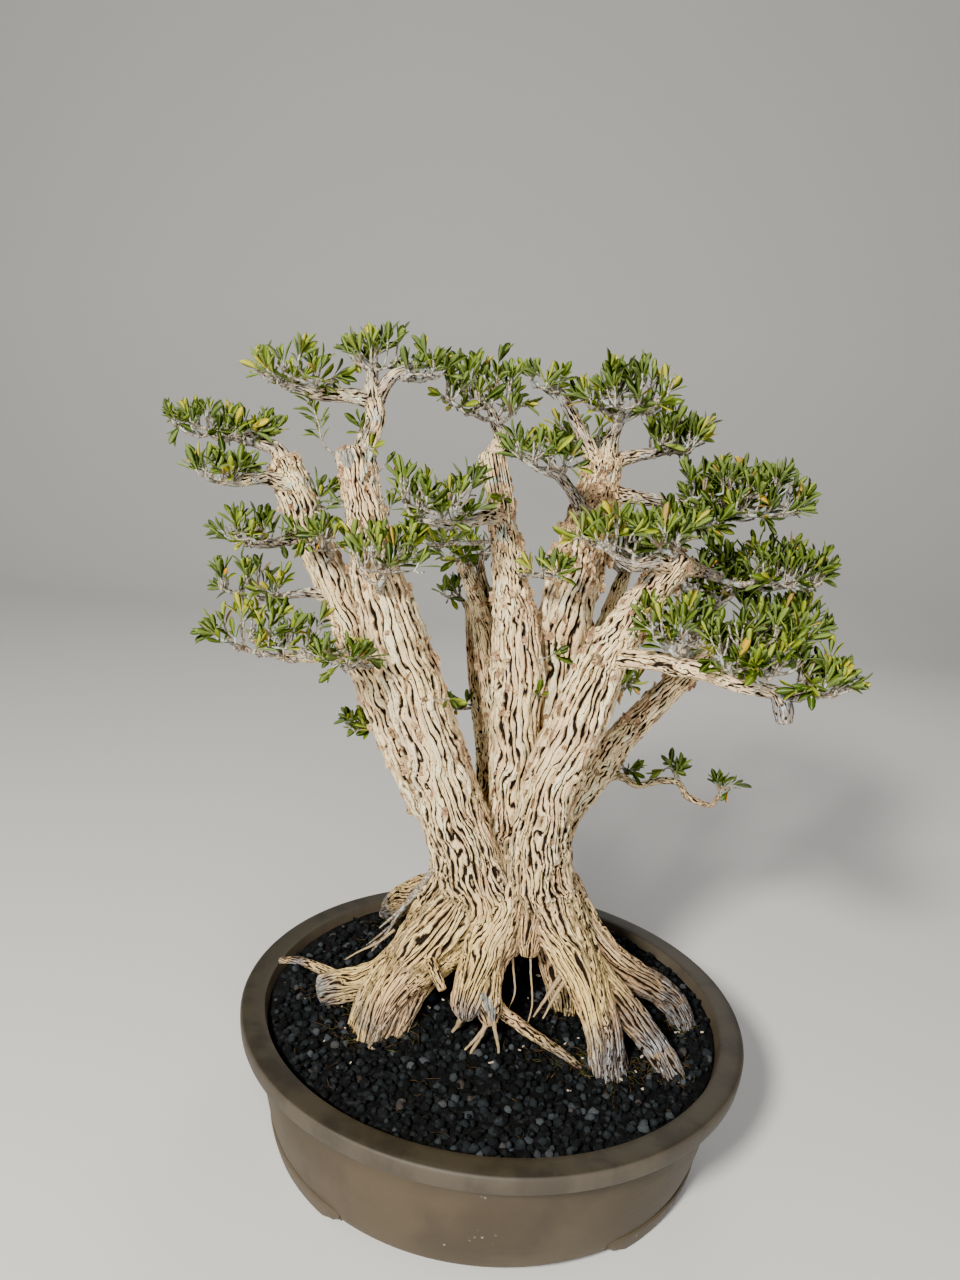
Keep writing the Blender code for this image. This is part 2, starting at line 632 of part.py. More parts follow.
def cut_soil(soil, profiles):
    """Plain holes for the buried roots, and pockets over the drain screens."""
    cutters = make_collection("soil_cutters")
    half = SCREEN_SIDE / 2 + GAP
    for centre in drain_centres():
        pocket = box_between("screen_pocket", (centre.x - half, centre.y - half, 0.0),
                             (centre.x + half, centre.y + half,
                              FLOOR_TOP + SCREEN_THICKNESS + 2 * GAP), cutters)
        hide_as_cutter(pocket)
    for name, route, profile, per_span in wood_pieces(profiles):
        if min(point[2] for point in route) > 135:
            continue
        low_part = [point for point in route if point[2] < 172]
        samples = smooth_route(low_part, per_span)
        hole = make_tube(name + "_hole", samples, profile, cutters, BARK_WANDER, GAP * 1.7)
        hide_as_cutter(hole)
    combine(soil, "DIFFERENCE", cutters, "MANIFOLD")


def wood_pieces(profiles):
    pieces = []
    for name, route in STEMS.items():
        pieces.append((name, route, profiles["stem"], 1))
    for name, route in ROOTS.items():
        pieces.append((name, route, profiles["root"], 1))
    for name, route in BRANCHES.items():
        pieces.append((name, route, profiles["branch"], 1))
    return pieces


def make_trunk(parts, material, profiles):
    """One grown piece: roots, leaders and limbs, swept one by one and fused."""
    grown = make_collection("grown_wood")
    for name, route, profile, per_span in wood_pieces(profiles):
        make_tube(name, smooth_route(route, per_span), profile, grown, BARK_WANDER)
    first = grown.objects[0]
    grown.objects.unlink(first)
    parts.objects.link(first)
    first.name = "trunk"
    first.data.materials.append(material)
    combine(first, "UNION", grown, "MANIFOLD")
    return first


class Clearance:
    """Remembers what has been placed, so that a new twig or blade can be kept clear of it."""

    def __init__(self):
        self.segments = []

    def add(self, start, end, radius, owner):
        self.segments.append((start.copy(), end.copy(), radius, owner))

    def is_clear(self, points, radius, owner, own_margin):
        for start, end, other_radius, other in self.segments:
            margin = own_margin if other == owner else radius + other_radius
            for point in points:
                nearest, share = intersect_point_line(point, start, end)
                if share < 0:
                    nearest = start
                elif share > 1:
                    nearest = end
                if (point - nearest).length < margin:
                    return False
        return True


def along(start, end, shares):
    return [start.lerp(end, share) for share in shares]


def make_leaf_mesh():
    """One blade: a flat outline, narrow at its root and widest past the middle."""
    curve = bpy.data.curves.new("leaf_blade", "CURVE")
    curve.dimensions = "2D"
    curve.fill_mode = "BOTH"
    curve.extrude = LEAF_THICKNESS / 2
    spline = curve.splines.new("POLY")
    outline = [(0, 0), (0.62, -0.5), (1, 0), (0.62, 0.5)]
    spline.points.add(len(outline) - 1)
    for point, (length_share, width_share) in zip(spline.points, outline):
        point.co = (length_share * LEAF_LENGTH, width_share * LEAF_WIDTH, 0, 1)
    spline.use_cyclic_u = True
    blade = bpy.data.objects.new("leaf_blade", curve)
    bpy.context.scene.collection.objects.link(blade)
    mesh = evaluated_mesh(blade)
    remove_objects([blade])
    weld(mesh)
    return mesh


def leaf_matrix(root, direction, roll):
    side = direction.cross(Vector((0, 0, 1)))
    if side.length < 0.05:
        side = Vector((1, 0, 0))
    side.normalize()
    up = side.cross(direction).normalized()
    turn = Matrix((direction, up.cross(direction), up)).transposed().to_4x4()
    return Matrix.Translation(root) @ turn @ Matrix.Rotation(roll, 4, "X")


def twig_samples(points, start_radius, end_radius):
    count = len(points) - 1
    return [(point, start_radius + (end_radius - start_radius) * index / count)
            for index, point in enumerate(points)]


def make_spray(name, plan, wood_tree, clearance, leaf_mesh, profiles, parts, material):
    """A twig frame that leaves the wood at its anchor, with blades fused on by a seeded rule."""
    anchor, route, half_width, rise, blades = plan
    draw = random.Random(name)
    surface, normal = wood_tree.find_nearest(Vector(anchor) * MM)[:2]
    spine = [surface + normal * GAP, surface + normal * 0.0035]
    spine += [metres(point) for point in route]
    frame = make_tube(name, twig_samples(spine, TWIG_RADIUS, TWIG_RADIUS * 0.75),
                      profiles["twig"], parts)
    pieces = make_collection(name + "_pieces")
    for start, end in zip(spine[1:], spine[2:]):
        clearance.add(start, end, TWIG_RADIUS, name)
    clearance.add(spine[0], spine[1], 0.0, name)
    shoots = [(start, end) for start, end in zip(spine[1:], spine[2:])]
    for span, (start, end) in enumerate(zip(spine[1:], spine[2:])):
        forward = (end - start).normalized()
        side = forward.cross(Vector((0, 0, 1)))
        if side.length < 0.3:
            side = Vector((draw.uniform(-1, 1), draw.uniform(-1, 1), 0))
        side.normalize()
        if half_width >= WIDE_SPRAY:
            hands = (1, -1)
        elif span and half_width >= NARROW_SPRAY:
            hands = ((1, -1)[span % 2],)
        else:
            hands = ()
        for hand in hands:
            base = start.lerp(end, draw.uniform(0.35, 0.9))
            reach = half_width * MM * draw.uniform(0.55, 0.95)
            tip = base + side * hand * reach + forward * reach * 0.35
            tip.z += rise * MM * draw.uniform(0.15, 0.45)
            if not clearance.is_clear(along(base, tip, (0.3, 0.6, 1.0)), 0.003, name, 0.0):
                continue
            make_tube("side_twig", twig_samples([base, tip], TWIG_RADIUS * 0.75, TWIG_RADIUS * 0.5),
                      profiles["twig"], pieces)
            clearance.add(base, tip, TWIG_RADIUS, name)
            shoots.append((base, tip))
    add_blades(name, shoots, blades, draw, clearance, leaf_mesh, pieces)
    frame.data.materials.append(material)
    if pieces.objects:
        combine(frame, "UNION", pieces)
    else:
        bpy.data.collections.remove(pieces)
    return frame


def add_blades(name, shoots, blades, draw, clearance, leaf_mesh, pieces):
    placed = 0
    centre = sum((start + end for start, end in shoots), Vector()) / (2 * len(shoots))
    for attempt in range(blades * 14):
        if placed == blades:
            break
        start, end = shoots[attempt % len(shoots)]
        share = max(0.15, 0.93 - BLADE_STEP * (attempt // len(shoots)))
        growth = (end - start).normalized()
        root = start.lerp(end, share)
        away = root - centre
        away.z = 0
        if away.length > MERGE:
            away.normalize()
        spread = Vector((draw.uniform(-1, 1), draw.uniform(-1, 1), draw.uniform(-0.3, 0.5)))
        direction = (growth * 0.5 + away * 0.35 + Vector((0, 0, 0.75)) + spread * 0.75).normalized()
        tip = root + direction * LEAF_LENGTH
        body = along(root, tip, (0.3, 0.5, 0.7, 1.0))
        if not clearance.is_clear(body, LEAF_WIDTH * 0.55, name, LEAF_WIDTH * 0.48):
            continue
        blade = add_object("blade", leaf_mesh, pieces)
        blade.matrix_world = leaf_matrix(root, direction, draw.uniform(-0.5, 0.5))
        clearance.add(root + direction * LEAF_LENGTH * 0.3, tip, LEAF_WIDTH * 0.45, name)
        placed += 1


def wood_clearance(profiles):
    clearance = Clearance()
    for name, route, profile, per_span in wood_pieces(profiles):
        samples = smooth_route(route, 2)
        for (start, start_radius), (end, end_radius) in zip(samples, samples[1:]):
            clearance.add(start, end, max(start_radius, end_radius) * (1 + BARK_RIDGE), "trunk")
    return clearance


def main():
    clear_scene()
    parts = make_collection("boxwood_bonsai")
    guides = make_collection("guides")
    stoneware = make_material("unglazed_stoneware", (0.155, 0.115, 0.075), 0.62)
    lava = make_material("black_lava_grit", (0.012, 0.014, 0.018), 0.85)
    bark = make_material("pale_bark", (0.62, 0.47, 0.30), 0.80)
    foliage = make_material("boxwood_leaf", (0.060, 0.130, 0.022), 0.38)
    net = make_material("black_net", (0.010, 0.010, 0.010), 0.55)
    draw = random.Random(5)
    profiles = {
        "stem": make_profile("stem_outline", STEM_SIDES, BARK_RIDGE, draw, guides),
        "root": make_profile("root_outline", ROOT_SIDES, BARK_RIDGE, draw, guides),
        "branch": make_profile("branch_outline", BRANCH_SIDES, BARK_RIDGE / 2, draw, guides),
        "twig": make_profile("twig_outline", 3, 0.0, draw, guides),
    }
    make_pot(parts, stoneware)
    for index, centre in enumerate(drain_centres()):
        make_screen(f"drain_screen_{index + 1}", centre, parts, net)
    soil = make_soil(parts, lava)
    cut_soil(soil, profiles)
    trunk = make_trunk(parts, bark, profiles)
    wood_tree = BVHTree.FromObject(trunk, bpy.context.evaluated_depsgraph_get())
    clearance = wood_clearance(profiles)
    leaf_mesh = make_leaf_mesh()
    for name, plan in SPRAYS.items():
        make_spray(name, plan, wood_tree, clearance, leaf_mesh, profiles, parts, foliage)
    remove_objects(guides.objects)
    bpy.data.collections.remove(guides)
    for part in parts.objects:
        part.data.transform(Matrix.Translation((POT_OFFSET_X, 0, 0)))


main()
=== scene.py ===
# %% [markdown]
# # A boxwood bonsai in its stoneware pot
# An old boxwood grown in a round pot: several leaders rise from one waist, pale fissured bark
# runs down into surface roots, flat pads of small leaves sit on grey twigs, and black lava
# grit fills the pot. This lesson dresses the plain solids with fine meshes and materials.
# It starts with the frame, because every piece has to stand where its solid stands.

# %% Load the frame
import json
import math
import random

import bmesh
import bpy
import numpy as np
from mathutils import Matrix, Vector, kdtree, noise
from mathutils.bvhtree import BVHTree

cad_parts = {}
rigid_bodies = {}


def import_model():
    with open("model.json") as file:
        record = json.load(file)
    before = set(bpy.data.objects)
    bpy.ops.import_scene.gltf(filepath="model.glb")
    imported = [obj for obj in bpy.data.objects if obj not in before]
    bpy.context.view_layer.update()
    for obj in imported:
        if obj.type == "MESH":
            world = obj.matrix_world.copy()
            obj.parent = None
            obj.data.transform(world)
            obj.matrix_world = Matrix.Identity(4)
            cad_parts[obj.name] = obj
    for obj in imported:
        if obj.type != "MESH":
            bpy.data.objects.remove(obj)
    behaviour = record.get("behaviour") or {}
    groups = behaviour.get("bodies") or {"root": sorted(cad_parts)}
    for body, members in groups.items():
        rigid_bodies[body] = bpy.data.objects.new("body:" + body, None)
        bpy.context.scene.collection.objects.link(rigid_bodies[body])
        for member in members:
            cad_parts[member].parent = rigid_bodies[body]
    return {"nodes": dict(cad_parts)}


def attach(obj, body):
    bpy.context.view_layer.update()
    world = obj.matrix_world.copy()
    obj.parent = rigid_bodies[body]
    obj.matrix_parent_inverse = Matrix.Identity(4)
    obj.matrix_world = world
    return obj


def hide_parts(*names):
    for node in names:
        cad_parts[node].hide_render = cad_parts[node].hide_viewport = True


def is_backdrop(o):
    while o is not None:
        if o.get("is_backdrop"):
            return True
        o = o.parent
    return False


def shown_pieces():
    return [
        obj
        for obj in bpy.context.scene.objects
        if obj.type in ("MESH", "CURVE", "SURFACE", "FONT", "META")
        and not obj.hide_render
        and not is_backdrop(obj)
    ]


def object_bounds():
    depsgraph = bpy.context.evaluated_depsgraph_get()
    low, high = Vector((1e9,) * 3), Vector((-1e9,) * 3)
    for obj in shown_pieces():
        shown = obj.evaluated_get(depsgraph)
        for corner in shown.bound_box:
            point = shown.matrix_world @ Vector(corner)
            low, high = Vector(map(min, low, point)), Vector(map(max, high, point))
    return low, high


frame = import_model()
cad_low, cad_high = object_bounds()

print("solids in the frame:", len(frame["nodes"]))

# %% [markdown]
# ## Units and the pot's place
# A tree is measured in millimetres, so the lists below are in millimetres from the centre of
# the pot's foot circle. The frame is in metres, and its origin is the middle of the plant's
# bounding box, so one vector moves every point into it. Keeping that step in one helper
# means that no list has to be shifted by hand. A piece made of many small shapes, such as
# leaves or grains, is gathered in one batch, because one big mesh is quicker than many.

# %% Units, and the helpers that make a piece
MM = 0.001
POT_AXIS = Vector((0.030, 0.0, 0.0))
BODY = "root"


def to_frame(points):
    return np.asarray(points, float) * MM + np.array(POT_AXIS)


def store(mesh, name, kind, values):
    """Keep one value, or one vector, for each point of a mesh, so that a material can read it."""
    attribute = mesh.attributes.new(name, kind, "POINT")
    field = "vector" if kind == "FLOAT_VECTOR" else "value"
    attribute.data.foreach_set(field, np.asarray(values, np.float32).ravel())


def linked(name, data, collection=None):
    item = bpy.data.objects.new(name, data)
    (collection or bpy.context.scene.collection).objects.link(item)
    return item


def framed_mesh(name, points, faces):
    mesh = bpy.data.meshes.new(name)
    mesh.from_pydata(to_frame(points).tolist(), [], faces)
    return mesh


def settle(piece, replaced):
    """Put a piece on the plant's body and hide the solids that it replaces."""
    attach(piece, BODY)
    if replaced:
        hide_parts(*replaced)


def add_piece(name, points, faces, materials, replaced, smooth=True):
    mesh = framed_mesh(name, points, faces)
    for material in materials:
        mesh.materials.append(material)
    piece = linked(name, mesh)
    if smooth:
        mesh.shade_smooth()
    settle(piece, replaced)
    return piece


class Batch:
    """Many small shapes gathered into one mesh."""

    def __init__(self):
        self.points, self.faces, self.total = [], [], 0

    def add(self, points, faces):
        self.faces += [tuple(self.total + corner for corner in face) for face in faces]
        self.points.append(points)
        self.total += len(points)

    def piece(self, name, materials, replaced, slot, smooth=True):
        return add_piece(name, np.vstack(self.points), self.faces, materials, replaced, smooth)


def triangles(piece):
    return sum(len(polygon.vertices) - 2 for polygon in piece.data.polygons)


# %% [markdown]
# ## Materials are small node trees
# Every finish here is made of the same few steps: read a coordinate or a stored value, turn
# it into noise or a ramp, and mix colours. A tiny builder keeps each recipe short. Plain
# numbers go straight on the shader's own sockets, so that they survive an export.

# %% A small builder for node trees
class Finish:
    def __init__(self, name, roughness, specular=0.5):
        self.material = bpy.data.materials.new(name)
        self.material.use_nodes = True
        self.tree = self.material.node_tree
        self.shader = self.tree.nodes["Principled BSDF"]
        self.shader.inputs["Roughness"].default_value = roughness
        self.shader.inputs["Specular IOR Level"].default_value = specular
        self.shader.inputs["Metallic"].default_value = 0.0

    def node(self, kind, **settings):
        node = self.tree.nodes.new(kind)
        for key, value in settings.items():
            setattr(node, key, value)
        return node

    def link(self, source, target):
        self.tree.links.new(source, target)

    def place(self):
        return self.node("ShaderNodeTexCoord").outputs["Object"]

    def stored(self, name, output="Fac"):
        return self.node("ShaderNodeAttribute", attribute_name=name).outputs[output]

    def scaled(self, vector, scale):
        mapping = self.node("ShaderNodeMapping")
        mapping.inputs["Scale"].default_value = scale
        self.link(vector, mapping.inputs["Vector"])
        return mapping.outputs["Vector"]

    def noise(self, vector, scale, detail=3.0, roughness=0.55):
        texture = self.node("ShaderNodeTexNoise")
        texture.inputs["Scale"].default_value = scale
        texture.inputs["Detail"].default_value = detail
        texture.inputs["Roughness"].default_value = roughness
        self.link(vector, texture.inputs["Vector"])
        return texture.outputs["Fac"]

    def cells(self, vector, scale, feature="F1"):
        texture = self.node("ShaderNodeTexVoronoi", feature=feature)
        texture.inputs["Scale"].default_value = scale
        self.link(vector, texture.inputs["Vector"])
        return texture.outputs["Distance"]

    def ramp(self, value, stops):
        ramp = self.node("ShaderNodeValToRGB")
        elements = ramp.color_ramp.elements
        while len(elements) < len(stops):
            elements.new(0.5)
        for element, (position, colour) in zip(elements, stops):
            element.position = position
            element.color = (*colour, 1.0)
        self.link(value, ramp.inputs["Fac"])
        return ramp.outputs["Color"]

    def mask(self, value, low, high):
        """0 at low and beyond it, 1 at high and beyond it, smooth between."""
        span = self.node("ShaderNodeMapRange", interpolation_type="SMOOTHSTEP")
        span.inputs["From Min"].default_value = low
        span.inputs["From Max"].default_value = high
        self.link(value, span.inputs["Value"])
        return span.outputs["Result"]

    def math(self, operation, first, second):
        node = self.node("ShaderNodeMath", operation=operation)
        for socket, value in zip(node.inputs, (first, second)):
            if isinstance(value, (int, float)):
                socket.default_value = value
            else:
                self.link(value, socket)
        return node.outputs["Value"]

    def mix(self, share, first, second):
        node = self.node("ShaderNodeMix", data_type="RGBA")
        for socket, value in ((node.inputs[0], share), (node.inputs[6], first), (node.inputs[7], second)):
            if isinstance(value, (int, float)):
                socket.default_value = value
            elif isinstance(value, tuple):
                socket.default_value = (*value, 1.0)
            else:
                self.link(value, socket)
        return node.outputs[2]

    def split(self, vector):
        """The x, y and z outputs of a vector."""
        parts = self.node("ShaderNodeSeparateXYZ")
        self.link(vector, parts.inputs["Vector"])
        return parts.outputs

    def along_axis(self, axis):
        return self.split(self.place())[axis]

    def both(self, first, second):
        return self.math("MULTIPLY", first, second)

    def colour(self, socket):
        self.link(socket, self.shader.inputs["Base Color"])

    def bump(self, value, distance, strength=1.0, under=None):
        bump = self.node("ShaderNodeBump")
        bump.inputs["Distance"].default_value = distance
        bump.inputs["Strength"].default_value = strength
        self.link(value, bump.inputs["Height"])
        if under is not None:
            self.link(under, bump.inputs["Normal"])
        self.link(bump.outputs["Normal"], self.shader.inputs["Normal"])
        return bump.outputs["Normal"]


# %% [markdown]
# ## Routes
# A trunk, a root and a twig are all the same thing to a modeller: a line through space with
# a thickness at each point. A smooth curve is read through the listed points, and a frame
# is carried along it without twisting, so that a pattern laid on its skin doesn't spiral.

# %% Smooth routes and frames that don't twist
def smooth_route(route, step):
    """Rows of (x, y, z, radius) about one step apart on a smooth curve through the route."""
    knots = np.array(route, float)
    ends = np.vstack([2 * knots[0] - knots[1], knots, 2 * knots[-1] - knots[-2]])
    rows = []
    for index in range(len(knots) - 1):
        before, start, end, after = ends[index:index + 4]
        count = max(1, int(round(np.linalg.norm(end[:3] - start[:3]) / step)))
        t = (np.arange(count) / count)[:, None]
        rows.append(0.5 * (2 * start + (end - before) * t
                           + (2 * before - 5 * start + 4 * end - after) * t ** 2
                           + (3 * start - before - 3 * end + after) * t ** 3))
    rows.append(knots[-1:])
    return np.vstack(rows)


def unit(vectors):
    return vectors / np.maximum(np.linalg.norm(vectors, axis=-1, keepdims=True), 1e-9)


def carried_frames(centres):
    """Tangent, normal and side vectors along a line, each normal carried on from the last."""
    tangents = unit(np.gradient(centres, axis=0))
    start = np.array((0.0, 1.0, 0.0)) if abs(tangents[0][1]) < 0.8 else np.array((1.0, 0.0, 0.0))
    normals = []
    for tangent in tangents:
        start = unit(start - tangent * (start @ tangent))
        normals.append(start)
    normals = np.array(normals)
    return tangents, normals, np.cross(tangents, normals)


# %% [markdown]
# ## The skeleton of the wood
# These are the same routes that the solids were swept along, from the ground up: leaders,
# roots, and the limbs that carry the pads. Repeating them keeps the fine bark exactly on
# the solid's wood, and their names say which part of the tree each one is.

# %% Leaders, roots and limbs, as (x, y, z, radius) in millimetres
STEMS = {
    "left_leader": [
        (-150, -20, 121, 12), (-128, -18, 127, 13), (-104, -22, 138, 14), (-78, -14, 158, 18),
        (-52, 4, 192, 24), (-41, 12, 232, 22), (-50, 12, 264, 20), (-64, 10, 290, 19),
        (-98, 12, 344, 18), (-153, 18, 451, 14.5), (-195, 20, 537, 14), (-210, 20, 571, 12.5)],
    "front_left_leader": [
        (-102, -74, 94, 10), (-97, -64, 116, 14), (-87, -50, 142, 18), (-68, -34, 167, 23),
        (-42, -22, 192, 27), (-22, -18, 218, 28), (-36, -20, 262, 27), (-55, -22, 316, 25),
        (-90, -32, 410, 22), (-109, -38, 455, 22), (-123, -40, 493, 18),
        (-130, -40, 528, 14.5), (-146, -36, 586, 13)],
    "middle_leader": [
        (-23, -78, 144, 7), (-24, -76, 152, 12), (-20, -68, 165, 15), (-12, -50, 183, 19),
        (-2, -18, 214, 26), (2, 2, 258, 24), (1, 8, 309, 19.5), (-2, 8, 372, 20),
        (-5, 8, 424, 19.5), (-12, 8, 466, 16.5), (-21, 6, 508, 12), (-28, 4, 544, 9.5),
        (-41, 2, 592, 10)],
    "rough_leader": [
        (42, 120, 94, 9), (39, 100, 130, 15), (35, 70, 170, 21), (31, 42, 208, 25),
        (31, 28, 252, 24), (30, 28, 304, 21), (30, 32, 413, 21),
        (33, 32, 461, 22), (39, 30, 510, 20), (47, 28, 557, 16), (53, 26, 596, 11)],
    "front_right_leader": [
        (98, -94, 94, 11), (93, -87, 115, 13), (88, -77, 142, 13.5), (74, -58, 172, 15.5),
        (55, -38, 198, 20), (36, -20, 228, 26), (28, -24, 262, 25), (26, -28, 292, 23),
        (32, -38, 347, 22), (47, -48, 401, 20.5), (58, -56, 445, 17.5), (77, -60, 483, 13.5),
        (106, -64, 530, 11)],
    "right_leader": [
        (174, -9, 94, 7), (166, -12, 119, 9), (148, -14, 141, 11), (116, -17, 159, 12.5),
        (86, -16, 179, 15), (58, -4, 207, 19), (38, 8, 242, 20), (36, 11, 264, 19),
        (44, 13, 294, 18), (66, 18, 324, 16), (94, 25, 362, 12),
        (141, 34, 417, 10), (166, 38, 436, 8.5), (186, 40, 450, 6.5)],
    "back_left_stem": [
        (-108, 150, 96, 8), (-101, 137, 126, 13), (-82, 108, 152, 15), (-50, 70, 182, 18),
        (-28, 50, 225, 20), (-18, 47, 284, 12), (-19, 60, 345, 8.5),
        (-40, 78, 446, 8), (-57, 84, 490, 6)],
    "heart_of_trunk": [(0, 12, 184, 26), (0, 8, 215, 37), (0, 6, 250, 34), (-4, 6, 284, 16)],
}

ROOTS = {
    "right_low_root": [
        (156, -84, 94, 8), (143, -76, 116, 10), (119, -65, 142, 11), (88, -50, 168, 13),
        (60, -28, 192, 15)],
    "back_right_root": [
        (100, 122, 94, 8), (86, 102, 128, 13), (64, 72, 160, 17), (42, 40, 195, 22),
        (32, 22, 235, 18)],
    "thin_root": [
        (82, -88, 104, 2), (64, -84, 117, 3), (43, -79, 127, 4), (24, -75, 136, 4.6),
        (4, -70, 148, 5.5), (-6, -62, 158, 7)],
    "lobe_under_scar": [
        (-4, -79, 141, 6), (-6, -76, 150, 10), (-10, -67, 166, 12), (-9, -50, 186, 14)],
    "web_over_arch": [
        (9, -38, 181, 7), (10, -34, 198, 11), (12, -24, 222, 15)],
    "web_over_arch_right": [
        (25, -40, 183, 7), (25, -36, 202, 12), (27, -26, 228, 15)],
    "shoulder_of_left_foot": [
        (-82, -46, 150, 13), (-68, -42, 172, 18), (-50, -34, 194, 21), (-34, -24, 216, 20)],
    "root_behind_arch": [
        (66, -22, 100, 6), (61, -16, 124, 10), (54, -4, 152, 14), (46, 8, 186, 18)],
    "finger_of_right_foot": [
        (108, -84, 98, 6), (102, -78, 118, 8.5), (92, -70, 140, 10), (80, -58, 162, 11)],
    "toe_of_left_foot": [
        (-118, -54, 98, 6), (-110, -50, 122, 10), (-96, -40, 146, 13), (-78, -28, 168, 14)],
    "heel_of_left_foot": [
        (-84, -64, 100, 9), (-80, -56, 122, 12), (-72, -44, 146, 15), (-58, -30, 172, 18)],
    "back_of_left_foot": [
        (-82, -38, 100, 8), (-79, -32, 124, 10), (-70, -22, 150, 13), (-54, -10, 178, 17)],
}

BRANCHES = {
    "limb_twig": [
        (-192, 1, 133, 2.4), (-175, -1, 136, 3.4), (-160, -5, 134, 3.8), (-142, -11, 131, 4.6),
        (-126, -15, 125, 5)],
    "root_peg": [(-45, -74, 164, 3.4), (-51, -66, 173, 4.4), (-62, -48, 184, 6)],
    "left_neck": [
        (-141, -37, 570, 9), (-135, -36, 596, 8), (-131, -36, 613, 7.5), (-133, -37, 628, 6.5)],
    "thin_back_stem": [
        (-20, 56, 330, 6), (-28, 84, 395, 5.2), (-35, 95, 455, 4.6), (-44, 98, 490, 3.6)],
    "far_back_stem": [
        (-20, 44, 262, 8), (-26, 88, 310, 6.4), (-37, 115, 357, 5.4), (-46, 130, 400, 4),
        (-52, 138, 438, 3)],
    "hidden_back_stem": [
        (34, 36, 250, 12), (48, 72, 320, 10), (66, 98, 400, 9), (80, 104, 455, 7.5),
        (88, 96, 492, 5.5)],
    "low_back_branch": [
        (38, 34, 262, 7), (70, 60, 290, 4.6), (101, 95, 299, 3.6), (125, 110, 287, 3.4),
        (151, 122, 289, 3.2), (169, 130, 285, 3), (181, 135, 270, 3), (205, 140, 261, 2.6),
        (214, 142, 272, 2)],
    "long_right_branch": [
        (58, -56, 447, 8), (86, -80, 453, 7.2), (106, -95, 454, 6.8), (125, -108, 454, 6.2),
        (146, -118, 450, 5.6), (169, -126, 448, 4.8), (184, -130, 447, 3.8)],
    "long_branch_knob": [(171, -127, 449, 4), (177, -131, 439, 7), (179, -132, 429, 5.5)],
    "top_left_limb": [(-133, -37, 624, 6), (-150, -40, 627, 5.4), (-172, -42, 626, 4.4)],
    "top_left_fork": [(-132, -36, 622, 6), (-123, -37, 640, 4.6), (-110, -35, 650, 3.6)],
    "far_left_limb": [(-209, 20, 566, 9), (-217, 23, 580, 6), (-232, 27, 584, 4.6)],
    "left_hook_limb": [(-200, 16, 552, 8), (-222, 2, 558, 5.2), (-240, -6, 554, 4)],
    "left_upper_limb": [(-182, 19, 514, 8), (-204, 10, 508, 4.2), (-218, 7, 504, 3.4)],
    "left_middle_limb": [(-160, 16, 464, 8), (-186, 9, 466, 3.6)],
    "left_low_limb": [(-130, 4, 416, 9), (-148, -44, 428, 5), (-165, -54, 427, 4)],
    "centre_left_limb": [(-27, 5, 543, 7), (-44, -24, 543, 5.2), (-62, -45, 538, 4.4)],
    "centre_top_limb": [(-40, 2, 586, 8), (-34, 0, 604, 6.4), (-39, -3, 615, 4.6)],
    "top_arch": [(47, 26, 586, 8), (31, 20, 612, 5.2), (20, 15, 628, 4.6), (9, 10, 643, 3.8)],
    "top_right_limb": [(53, 25, 592, 9), (55, 16, 614, 5)],
    "centre_front_limb": [(40, 18, 545, 9), (28, -28, 562, 4.8), (10, -55, 582, 3.8)],
    "right_top_limb": [(54, 26, 590, 8), (72, 28, 598, 5.2), (90, 30, 602, 4)],
    "front_top_limb": [(99, -63, 520, 9), (84, -80, 526, 5.2), (68, -87, 523, 4.4)],
    "right_upper_limb": [(48, 27, 568, 9), (80, 22, 566, 5.4), (110, 18, 564, 4.4)],
    "right_middle_limb": [(103, -62, 522, 9), (128, -20, 516, 5.2), (155, 10, 507, 4)],
    "back_top_limb": [(50, 30, 580, 8), (47, 62, 598, 4.6), (42, 78, 606, 3.8)],
}
print("routes:", len(STEMS), "leaders,", len(ROOTS), "roots,", len(BRANCHES), "limbs")

# %% [markdown]
# ## The pads
# Clipping has trained the crown into flat clouds. Each pad hangs on one knotty twig that
# runs out low and turns up at its end, shorter twigs fork off it, and the leaves crowd on
# the shoots above. Each row below gives the line of that main twig, the pad's centre, its
# half sizes and its fullness. Three fillers thicken the right of the crown from behind.

